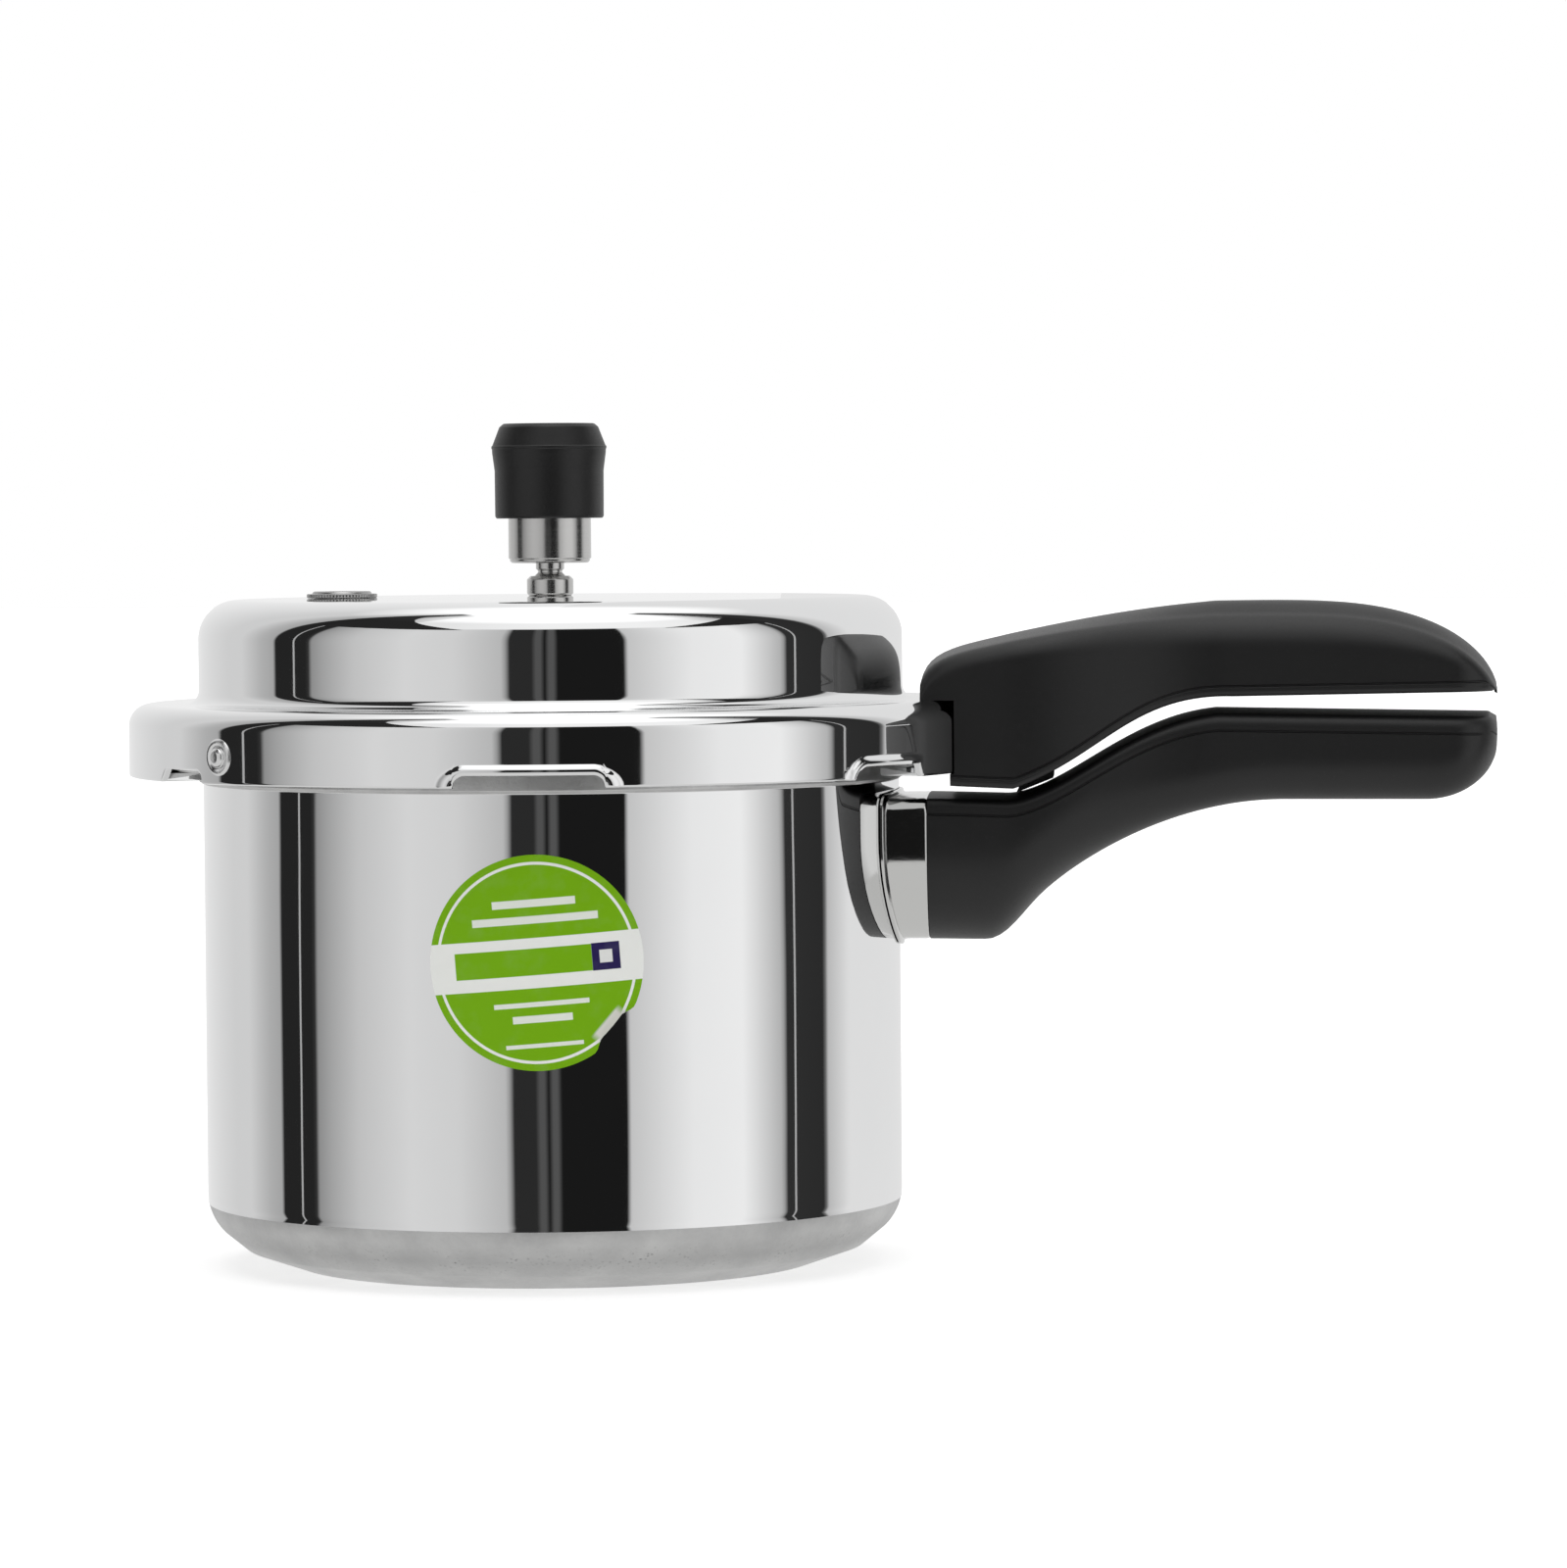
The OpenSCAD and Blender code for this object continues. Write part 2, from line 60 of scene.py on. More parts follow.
POT_HIGH = box_mm("pot_body")[1]
LID_LOW, LID_HIGH = box_mm("lid_shell")
GUARD_HIGH = box_mm("flame_guard")[1]
LID_GRIP_LOW, LID_GRIP_HIGH = box_mm("lid_handle")
POT_GRIP_LOW, POT_GRIP_HIGH = box_mm("body_handle")
CAP_LOW, CAP_HIGH = box_mm("weight_cap")
WEIGHT_LOW, WEIGHT_HIGH = box_mm("weight_body")
LABEL_LOW, LABEL_HIGH = box_mm("label")
VALVE_LOW, VALVE_HIGH = box_mm("safety_valve_body")
PIPE_LOW, PIPE_HIGH = box_mm("vent_pipe")

POT_R = 90.0
BAND_R = POT_R + 1.2
RIM_Z = POT_HIGH.z
LUG_R = 104.5
LUG_DEG = (-23.5, 43.5)
LUG_Z = (129.4, 133.4)
WALL = 3.0
SKIRT_Z = LID_LOW.z
TOP_Z = LID_HIGH.z
FLANGE_Z = TOP_Z - 27.0
SKIRT_R = LID_HIGH.x
DOME_R = POT_R + 1.0
EDGE_R = 5.5
FOOT_R = 3.4
SHEET = 2.0
BAND_Z = SKIRT_Z - 1.8
POLISH_Z = 16.5
LIP_DEG = (-26.0, 30.0)
RELIEF_DEG = (-41.7, 41.8)
RELIEF_Z = SKIRT_Z + 3.3
ARCH_R = 5.0
LIP_R = 96.0
LIP_T = 2.0
WINDOW_DEG = 271.9
WINDOW_HALF = 18.75
WINDOW_H = 3.1
WINDOW_CORNER = 3.0
STOP_DEG = 225.5
STOP_Z = 133.9
GRIP_END = LID_GRIP_HIGH.x
GRIP_W = 17.5
END_R = 12.0
LID_WAIST = (118, 175)
POT_WAIST = (118, 170)
LABEL_AZ = 272.2
LABEL_Z = (LABEL_LOW.z + LABEL_HIGH.z) / 2
LABEL_R = (LABEL_HIGH.z - LABEL_LOW.z) / 2
LABEL_TILT = 4.2
TEAR_WAY = (0.757, -0.655)
TEAR_FROM = 22.0


# ---------------------------------------------------------------- mesh helpers

def make_mesh(name, points, faces, body, slot, material, replaces=(), sharp=32.0):
    """A closed mesh from points in millimetres, welded, with its normals outward."""
    mesh = bpy.data.meshes.new(name)
    mesh.from_pydata([tuple(p) for p in np.asarray(points, dtype=float) * MM], [], faces)
    bm = bmesh.new()
    bm.from_mesh(mesh)
    bmesh.ops.remove_doubles(bm, verts=bm.verts, dist=2e-6)
    bmesh.ops.dissolve_degenerate(bm, edges=bm.edges, dist=1e-6)
    bmesh.ops.recalc_face_normals(bm, faces=bm.faces)
    bm.to_mesh(mesh)
    bm.free()
    mesh.shade_smooth()
    mesh.set_sharp_from_angle(angle=math.radians(sharp))
    obj = bpy.data.objects.new(name, mesh)
    bpy.context.scene.collection.objects.link(obj)
    mesh.materials.append(material)
    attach(obj, body)
    if replaces:
        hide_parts(*replaces)
    return obj


def grid_faces(rows, columns, wrap_rows=False):
    """Quads of a grid whose columns close on themselves; its rows close too if asked."""
    faces = []
    last = rows if wrap_rows else rows - 1
    for i in range(last):
        a = i * columns
        b = ((i + 1) % rows) * columns
        for j in range(columns):
            k = (j + 1) % columns
            faces.append((a + j, a + k, b + k, b + j))
    return faces


def arc(centre, radius, start, end, steps=8):
    """Points on an arc, with its angles in degrees. The radius may be a pair, for an ellipse."""
    rx, ry = radius if isinstance(radius, tuple) else (radius, radius)
    return [(centre[0] + rx * math.cos(math.radians(start + (end - start) * i / steps)),
             centre[1] + ry * math.sin(math.radians(start + (end - start) * i / steps)))
            for i in range(steps + 1)]


def filleted(corners, closed=False, steps=5):
    """A polyline whose corners, given as (x, y, radius), are rounded."""
    out = []
    count = len(corners)
    for i, (x, y, radius) in enumerate(corners):
        here = Vector((x, y))
        if radius <= 0 or (not closed and i in (0, count - 1)):
            out.append((x, y))
            continue
        before = Vector(corners[i - 1][:2]) - here
        after = Vector(corners[(i + 1) % count][:2]) - here
        half = before.angle(after) / 2
        reach = min(radius / math.tan(half), 0.49 * before.length, 0.49 * after.length)
        r = reach * math.tan(half)
        middle = here + (before.normalized() + after.normalized()).normalized() * (r / math.sin(half))
        a = here + before.normalized() * reach - middle
        b = here + after.normalized() * reach - middle
        turn = a.angle_signed(b)
        for k in range(steps + 1):
            p = a.copy()
            p.rotate(Matrix.Rotation(-turn * k / steps, 2))
            out.append((middle.x + p.x, middle.y + p.y))
    return out


def subdivided(profile, longest):
    """The profile with extra points, so that no piece of it is longer than the given length."""
    out = [profile[0]]
    for a, b in zip(profile, profile[1:]):
        n = max(1, math.ceil(math.dist(a, b) / longest))
        out += [(a[0] + (b[0] - a[0]) * k / n, a[1] + (b[1] - a[1]) * k / n) for k in range(1, n + 1)]
    return out


def turned(profile, segments, closed=False, axis=(0.0, 0.0)):
    """Points and faces of a (radius, height) profile turned about a vertical axis."""
    angles = np.arange(segments) * 2 * math.pi / segments
    ring = np.stack([np.cos(angles), np.sin(angles)], axis=1)
    points = []
    for r, z in profile:
        layer = np.empty((segments, 3))
        layer[:, 0] = axis[0] + r * ring[:, 0]
        layer[:, 1] = axis[1] + r * ring[:, 1]
        layer[:, 2] = z
        points.append(layer)
    return np.concatenate(points), grid_faces(len(profile), segments, wrap_rows=closed)


def sector(r0, r1, start, end, z0, z1, edge=0.6, steps=24):
    """A block between two radii, angles and heights, with rounded long edges."""
    section = filleted([(r0, z0, edge), (r1, z0, edge), (r1, z1, edge), (r0, z1, edge)], closed=True, steps=3)
    points = []
    for i in range(steps + 1):
        a = math.radians(start + (end - start) * i / steps)
        points += [(r * math.cos(a), r * math.sin(a), z) for r, z in section]
    n = len(section)
    faces = [tuple(range(n))[::-1], tuple(steps * n + k for k in range(n))]
    for i in range(steps):
        for k in range(n):
            m = (k + 1) % n
            faces.append((i * n + k, i * n + m, (i + 1) * n + m, (i + 1) * n + k))
    return np.array(points), faces


def joined(*parts):
    """Several point and face lists as one."""
    points, faces, offset = [], [], 0
    for p, f in parts:
        points.append(np.asarray(p))
        faces += [tuple(v + offset for v in face) for face in f]
        offset += len(p)
    return np.concatenate(points), faces


# ---------------------------------------------------------------- material helpers

class Nodes:
    """A short way to write a procedural material, or the world's light when it is given the world's tree."""

    def __init__(self, name, tree=None):
        self.tree = tree
        if tree is None:
            self.material = bpy.data.materials.new(name)
            self.material.use_nodes = True
            self.tree = self.material.node_tree
            self.shader = self.tree.nodes["Principled BSDF"]

    def add(self, kind, **settings):
        node = self.tree.nodes.new(kind)
        for key, value in settings.items():
            setattr(node, key, value)
        return node

    def link(self, source, target):
        self.tree.links.new(source, target)

    def feed(self, target, value):
        """Puts a socket or a constant into an input."""
        if isinstance(value, bpy.types.NodeSocket):
            self.link(value, target)
        elif value is not None:
            target.default_value = value

    def math(self, operation, a, b=None):
        node = self.add("ShaderNodeMath", operation=operation)
        self.feed(node.inputs[0], a)
        self.feed(node.inputs[1], b)
        return node.outputs[0]

    def place(self):
        """Position in millimetres, as (vector, x, y, z)."""
        coords = self.add("ShaderNodeTexCoord")
        scale = self.add("ShaderNodeVectorMath", operation="SCALE")
        scale.inputs["Scale"].default_value = 1 / MM
        self.link(coords.outputs["Object"], scale.inputs[0])
        split = self.add("ShaderNodeSeparateXYZ")
        self.link(scale.outputs[0], split.inputs[0])
        return scale.outputs[0], split.outputs[0], split.outputs[1], split.outputs[2]

    def vector(self, x, y, z):
        node = self.add("ShaderNodeCombineXYZ")
        for target, value in zip(node.inputs, (x, y, z)):
            self.feed(target, value)
        return node.outputs[0]

    def noise(self, vector, scale, detail=2.0, roughness=0.5):
        node = self.add("ShaderNodeTexNoise")
        self.feed(node.inputs["Vector"], vector)
        node.inputs["Scale"].default_value = scale
        node.inputs["Detail"].default_value = detail
        node.inputs["Roughness"].default_value = roughness
        return node.outputs["Fac"]

    def remap(self, value, low, high, new_low, new_high):
        node = self.add("ShaderNodeMapRange", clamp=True)
        self.feed(node.inputs["Value"], value)
        node.inputs["From Min"].default_value = low
        node.inputs["From Max"].default_value = high
        node.inputs["To Min"].default_value = new_low
        node.inputs["To Max"].default_value = new_high
        return node.outputs["Result"]

    def mix(self, factor, a, b, blend="MIX"):
        node = self.add("ShaderNodeMix", data_type="RGBA", blend_type=blend)
        self.feed(node.inputs[0], factor)
        self.feed(node.inputs[6], a)
        self.feed(node.inputs[7], b)
        return node.outputs[2]

    def bump(self, height, strength, distance, below=None):
        node = self.add("ShaderNodeBump")
        node.inputs["Strength"].default_value = strength
        node.inputs["Distance"].default_value = distance * MM
        self.feed(node.inputs["Height"], height)
        if below is not None:
            self.link(below, node.inputs["Normal"])
        self.link(node.outputs[0], self.shader.inputs["Normal"])
        return node.outputs[0]

    def ramp(self, value, stops):
        node = self.add("ShaderNodeValToRGB")
        self.link(value, node.inputs[0])
        ramp = node.color_ramp
        ramp.elements.remove(ramp.elements[-1])
        for i, (position, grey) in enumerate(stops):
            element = ramp.elements[0] if i == 0 else ramp.elements.new(position)
            element.position = position
            element.color = (grey, grey, grey, 1.0)
        return node.outputs[0]

    def set(self, **values):
        """Sets or links the shader's own inputs; an underscore stands for a space."""
        for key, value in values.items():
            self.feed(self.shader.inputs[key.replace("_", " ")], value)


def turned_lines(n, x, y, z, axis=(0.0, 0.0), per_mm=6.0):
    """Fine noise that runs round an axis, as a lathe or a buffing wheel leaves it."""
    dx = n.math("SUBTRACT", x, axis[0])
    dy = n.math("SUBTRACT", y, axis[1])
    radius = n.math("SQRT", n.math("ADD", n.math("MULTIPLY", dx, dx), n.math("MULTIPLY", dy, dy)))
    angle = n.math("ARCTAN2", dy, dx)
    along = n.math("MULTIPLY", n.math("COSINE", angle), 0.35)
    vector = n.vector(along, n.math("MULTIPLY", radius, per_mm), n.math("MULTIPLY", z, per_mm))
    return n.noise(vector, 1.0, detail=3.0)


# ---------------------------------------------------------------- materials

def polished_aluminium():
    """Mirror finish with fine buffing lines, faint smears and slight waves in the metal."""
    n = Nodes("polished_aluminium")
    vector, x, y, z = n.place()
    lines = turned_lines(n, x, y, z, per_mm=5.0)
    smear = n.noise(vector, 0.035, detail=4.0, roughness=0.6)
    waves = n.noise(vector, 0.02, detail=1.0)
    n.set(Base_Color=n.mix(smear, (0.89, 0.895, 0.90, 1), (0.93, 0.93, 0.93, 1)), Metallic=1.0,
          Roughness=n.remap(smear, 0.3, 0.75, 0.012, 0.045))
    base = n.bump(waves, 0.10, 1.0)
    n.bump(lines, 0.05, 0.008, below=base)
    return n.material


def matte_aluminium():
    """Unpolished spun aluminium: grey, with turning lines, a cast grain and pits low on the heel."""
    n = Nodes("matte_aluminium")
    vector, x, y, z = n.place()
    lines = turned_lines(n, x, y, z, per_mm=3.0)
    grain = n.noise(vector, 1.1, detail=5.0, roughness=0.65)
    cloud = n.noise(vector, 0.06, detail=5.0, roughness=0.6)
    low = n.math("MULTIPLY", n.remap(z, 4.5, 8.0, 0.0, 1.0), n.remap(z, 8.5, 13.0, 1.0, 0.0))
    cells = n.add("ShaderNodeTexVoronoi", feature="F1")
    cells.inputs["Scale"].default_value = 0.75
    n.link(vector, cells.inputs["Vector"])
    spots = n.remap(cells.outputs["Distance"], 0.12, 0.34, 1.0, 0.0)
    worn = n.remap(cloud, 0.42, 0.62, 0.0, 1.0)
    pits = n.math("MULTIPLY", n.math("MULTIPLY", spots, worn), low)
    tone = n.mix(n.remap(cloud, 0.3, 0.7, 0.0, 1.0), (0.60, 0.60, 0.60, 1), (0.76, 0.76, 0.755, 1))
    worn_tone = n.mix(n.math("MULTIPLY", low, 0.35), tone, (0.42, 0.42, 0.42, 1))
    n.set(Base_Color=n.mix(n.math("MULTIPLY", pits, 0.6), worn_tone, (0.20, 0.20, 0.20, 1)),
          Metallic=1.0, Roughness=n.remap(grain, 0.3, 0.7, 0.36, 0.52))
    first = n.bump(n.math("SUBTRACT", grain, n.math("MULTIPLY", pits, 3.0)), 0.5, 0.12)
    n.bump(lines, 0.25, 0.03, below=first)
    return n.material


def satin_aluminium():
    n = Nodes("satin_aluminium")
    vector = n.place()[0]
    hammered = n.noise(vector, 0.9, detail=3.0)
    n.set(Base_Color=(0.86, 0.86, 0.86, 1), Metallic=1.0, Roughness=n.remap(hammered, 0.3, 0.7, 0.14, 0.26))
    n.bump(hammered, 0.35, 0.12)
    return n.material


def bright_steel():
    """Polished stainless sheet, with long faint draw marks."""
    n = Nodes("bright_steel")
    x, y, z = n.place()[1:]
    drawn = n.vector(n.math("MULTIPLY", x, 0.3), n.math("MULTIPLY", y, 2.0), n.math("MULTIPLY", z, 4.0))
    marks = n.noise(drawn, 1.0)
    n.set(Base_Color=(0.72, 0.72, 0.71, 1), Metallic=1.0, Roughness=n.remap(marks, 0.3, 0.7, 0.05, 0.13))
    n.bump(marks, 0.08, 0.02)
    return n.material


def turned_metal(name, colour, rough, axis=(0.0, 0.0), per_mm=7.0, strength=0.35):
    """Metal turned on a lathe about a vertical axis."""
    n = Nodes(name)
    x, y, z = n.place()[1:]
    lines = turned_lines(n, x, y, z, axis=axis, per_mm=per_mm)
    n.set(Base_Color=n.mix(lines, (*[c * 0.82 for c in colour], 1), (*colour, 1)), Metallic=1.0,
          Roughness=n.remap(lines, 0.3, 0.7, rough, rough + 0.12))
    n.bump(lines, strength, 0.03)
    return n.material


def cast_alloy():
    n = Nodes("fusible_alloy")
    vector = n.place()[0]
    grain = n.noise(vector, 1.6, detail=4.0)
    n.set(Base_Color=n.mix(grain, (0.30, 0.30, 0.31, 1), (0.46, 0.46, 0.47, 1)), Metallic=1.0,
          Roughness=n.remap(grain, 0.3, 0.7, 0.35, 0.55))
    n.bump(grain, 0.4, 0.05)
    return n.material


def black_phenolic():
    """Compression-moulded phenolic: near black, satin, with a fine powder grain and faint flow marks."""
    n = Nodes("black_phenolic")
    vector = n.place()[0]
    grain = n.noise(vector, 3.2, detail=4.0, roughness=0.7)
    flow = n.noise(vector, 0.05, detail=3.0)
    speck = n.remap(n.noise(vector, 2.1, detail=2.0), 0.66, 0.74, 0.0, 1.0)
    tone = n.mix(flow, (0.0042, 0.0042, 0.0044, 1), (0.0068, 0.0068, 0.0070, 1))
    n.set(Base_Color=n.mix(n.math("MULTIPLY", speck, 0.5), tone, (0.02, 0.02, 0.02, 1)),
          Roughness=n.remap(grain, 0.3, 0.7, 0.34, 0.52))
    first = n.bump(flow, 0.15, 0.6)
    n.bump(grain, 0.32, 0.045, below=first)
    return n.material


def black_rubber():
    n = Nodes("black_rubber")
    vector = n.place()[0]
    grain = n.noise(vector, 2.0, detail=4.0)
    n.set(Base_Color=n.mix(grain, (0.008, 0.008, 0.008, 1), (0.02, 0.02, 0.02, 1)), Roughness=0.72)
    n.bump(grain, 0.4, 0.05)
    return n.material


def brass():
    n = Nodes("brass")
    vector = n.place()[0]
    grain = n.noise(vector, 1.2, detail=4.0)
    n.set(Base_Color=n.mix(grain, (0.62, 0.43, 0.15, 1), (0.78, 0.58, 0.25, 1)), Metallic=1.0,
          Roughness=n.remap(grain, 0.3, 0.7, 0.2, 0.4))
    n.bump(grain, 0.2, 0.03)
    return n.material


def printed_label():
    """A coated paper disc: green, a thin white ring, a pale band with two plain marks, and plain bars."""
    n = Nodes("printed_label")
    vector, x, y, z = n.place()
    turn = n.math("ARCTAN2", x, n.math("MULTIPLY", y, -1.0))
    across = n.math("MULTIPLY", n.math("SUBTRACT", turn, math.radians(LABEL_AZ - 270)), POT_R)
    up = n.math("SUBTRACT", z, LABEL_Z)
    c, s = math.cos(math.radians(LABEL_TILT)), math.sin(math.radians(LABEL_TILT))
    u = n.math("ADD", n.math("MULTIPLY", across, c), n.math("MULTIPLY", up, s))
    v = n.math("SUBTRACT", n.math("MULTIPLY", up, c), n.math("MULTIPLY", across, s))

    def inside(value, centre, half):
        gap = n.math("ABSOLUTE", n.math("SUBTRACT", value, centre))
        return n.remap(gap, half - 0.06, half + 0.06, 1.0, 0.0)

    def block(cu, cv, hu, hv):
        return n.math("MULTIPLY", inside(u, cu, hu), inside(v, cv, hv))

    radius = n.math("SQRT", n.math("ADD", n.math("MULTIPLY", u, u), n.math("MULTIPLY", v, v)))
    fibre = n.noise(vector, 2.5, detail=4.0)
    green = n.mix(fibre, (0.165, 0.400, 0.0008, 1), (0.182, 0.425, 0.0012, 1))
    white = (0.82, 0.83, 0.80, 1)
    colour = n.mix(inside(radius, LABEL_R - 2.1, 0.36), green, white)
    plate_u, mark_u, row_u = -3.2, 17.3, 0.5
    middle_v = 0.3
    colour = n.mix(inside(v, 0.0, 6.2), colour, white)
    colour = n.mix(block(plate_u, middle_v, 17.0, 3.3), colour, (0.170, 0.410, 0.001, 1))
    colour = n.mix(block(mark_u, middle_v, 3.5, 3.4), colour, (0.020, 0.012, 0.085, 1))
    colour = n.mix(n.math("MULTIPLY", block(mark_u, middle_v, 1.6, 1.6), 0.9), colour, white)
    rows = ((14.8, 10.3, 0.95), (10.7, 15.6, 0.95), (-10.2, 11.8, 0.6), (-13.8, 7.4, 0.9), (-20.4, 9.6, 0.5))
    for row_v, half_length, half_height in rows:
        colour = n.mix(n.math("MULTIPLY", block(row_u, row_v, half_length, half_height), 0.9), colour, white)
    torn = n.math("SUBTRACT", n.math("MULTIPLY", across, TEAR_WAY[0]), n.math("MULTIPLY", up, -TEAR_WAY[1]))
    beside = n.math("ADD", n.math("MULTIPLY", across, -TEAR_WAY[1]), n.math("MULTIPLY", up, TEAR_WAY[0]))
    paper = n.math("MULTIPLY", n.remap(torn, TEAR_FROM, TEAR_FROM + 0.6, 0.0, 1.0),
                   n.remap(n.math("ABSOLUTE", beside), 3.6, 5.4, 1.0, 0.0))
    colour = n.mix(paper, colour, (0.72, 0.71, 0.66, 1))
    wear = n.remap(n.noise(vector, 0.25, detail=5.0), 0.5, 0.8, 0.0, 0.05)
    n.set(Base_Color=n.mix(wear, colour, (0.55, 0.58, 0.5, 1)), Roughness=n.remap(fibre, 0.3, 0.7, 0.38, 0.5))
    n.shader.inputs["Specular IOR Level"].default_value = 0.14
    n.bump(fibre, 0.12, 0.03)
    return n.material


M = {
    "polished_aluminium": polished_aluminium(),
    "matte_aluminium": matte_aluminium(),
    "satin_aluminium": satin_aluminium(),
    "bright_steel": bright_steel(),
    "zinc_steel": turned_metal("zinc_steel", (0.60, 0.61, 0.62), 0.22, per_mm=3.0),
    "nickel_plate": turned_metal("nickel_plate", (0.66, 0.655, 0.645), 0.12),
    "fusible_alloy": cast_alloy(),
    "brass": brass(),
    "black_phenolic": black_phenolic(),
    "black_rubber": black_rubber(),
    "printed_label": printed_label(),
}


# ---------------------------------------------------------------- pot

def build_pot():
    """Spun pot: flat foot, sloping underside, bevelled heel, straight wall, rim band and locking lugs."""
    foot_r, shoulder_r, shoulder_z, heel_r, heel_z = 67.0, 80.0, 4.5, 13.5, 19.0
    bevel = heel_r * math.cos(math.radians(45))
    bore_r, inner_r, floor_z = POT_R - WALL, 12.0, 6.0
    outside = [(0.0, 0.0)]
    outside += filleted([(20.0, 0.0, 0), (foot_r, 0.0, 1.6), (shoulder_r, shoulder_z, 2.2),
                         (POT_R - heel_r + bevel, heel_z - bevel, 0)])
    outside += arc((POT_R - heel_r, heel_z), heel_r, -44, -10.8, 14)
    outside += [(POT_R - 0.12, POLISH_Z + 0.01)]
    outside += arc((POT_R - heel_r, heel_z), heel_r, -8, 0, 4)
    outside += [(POT_R, 60.0), (POT_R, 100.0)]
    outside += filleted([(POT_R, 100.0, 0), (POT_R, BAND_Z - 0.3, 0.5), (BAND_R, BAND_Z + 0.3, 0.5),
                         (BAND_R, RIM_Z, 0.7), (bore_r, RIM_Z, 0.7), (bore_r, 100.0, 0)])
    outside += arc((bore_r - inner_r, floor_z + inner_r), inner_r, 0, -90, 10)
    outside += [(0.0, floor_z)]
    body = turned(outside, 288)
    lugs = [sector(POT_R - 0.6, LUG_R, side + LUG_DEG[0], side + LUG_DEG[1], *LUG_Z, edge=1.2, steps=64)
            for side in (0, 180)]
    pot = make_mesh("pot", *joined(body, *lugs), "pot", "polished_aluminium", M["polished_aluminium"],
                    replaces=["pot_body"])
    pot.data.materials.append(M["matte_aluminium"])
    for face in pot.data.polygons:
        centre = face.center / MM
        low = centre.z < POLISH_Z
        high = centre.z > BAND_Z - 0.35
        inner = math.hypot(centre.x, centre.y) < POT_R - 1.0
        if low or high or inner:
            face.material_index = 1
    return pot


# ---------------------------------------------------------------- lid

def smooth(t):
    t = min(1.0, max(0.0, t))
    return t * t * (3 - 2 * t)


def window_distance(along, z):
    """Distance outside the window's outline, in the unrolled skirt; negative inside. Wider at the sides."""
    dx = abs(along) - (WINDOW_HALF - WINDOW_CORNER)
    if dx > WINDOW_CORNER:
        dx = WINDOW_CORNER + (dx - WINDOW_CORNER) * 0.62
    dz = z - (SKIRT_Z + WINDOW_H - WINDOW_CORNER)
    if dx > 0 and dz > 0:
        return math.hypot(dx, dz) - WINDOW_CORNER
    return max(dx, dz) - WINDOW_CORNER


def arch_distance(angle, z):
    """Distance outside the relief whose rounded end faces away from the handle's nose."""
    dx = math.radians(RELIEF_DEG[0] - angle) * SKIRT_R + ARCH_R
    dz = z - (RELIEF_Z - ARCH_R)
    if dx > 0 and dz > 0:
        return math.hypot(dx, dz) - ARCH_R
    return max(dx, dz) - ARCH_R


def flare(distance):
    """How far the rolled rim of an opening stands out of the skirt."""
    return 0.95 * math.sin(math.pi * min(1.0, max(0.0, (distance + 0.7) / 3.4))) ** 1.2


def lower_edge(angle, along):
    """Height of the lid's lower edge. The angle is counted from the nearer handle axis."""
    rise = RELIEF_Z - SKIRT_Z
    if RELIEF_DEG[0] < angle < LIP_DEG[0]:
        over = max(0.0, ARCH_R - math.radians(angle - RELIEF_DEG[0]) * SKIRT_R)
        height = rise - ARCH_R + math.sqrt(ARCH_R ** 2 - over ** 2)
        return SKIRT_Z + max(0.0, height) * smooth((LIP_DEG[0] - angle) / 1.2)
    if LIP_DEG[1] < angle < RELIEF_DEG[1]:
        climb = min(1.0, (angle - LIP_DEG[1]) / 2.2)
        fall = min(1.0, (RELIEF_DEG[1] - angle) / 1.6)
        return SKIRT_Z + rise * smooth(climb) * math.sqrt(max(0.0, 1 - (1 - fall) ** 2.2))
    if abs(along) < WINDOW_HALF:
        over = abs(along) - (WINDOW_HALF - WINDOW_CORNER)
        drop = WINDOW_CORNER - math.sqrt(max(0.0, WINDOW_CORNER ** 2 - over ** 2)) if over > 0 else 0.0
        return SKIRT_Z + WINDOW_H - drop
    return SKIRT_Z


def lid_angles():
    """Azimuths of the lid's columns, closer together along the window and the reliefs."""
    angles = []
    a = 0.0
    while a < 360.0:
        angles.append(a)
        folded = (a + 90) % 180 - 90
        fine = abs(a - WINDOW_DEG) < 14 or RELIEF_DEG[0] - 1 < folded < LIP_DEG[0] + 1 \
            or LIP_DEG[1] - 1 < folded < RELIEF_DEG[1] + 1
        a += 0.2 if fine else 0.5
    return np.array(angles)


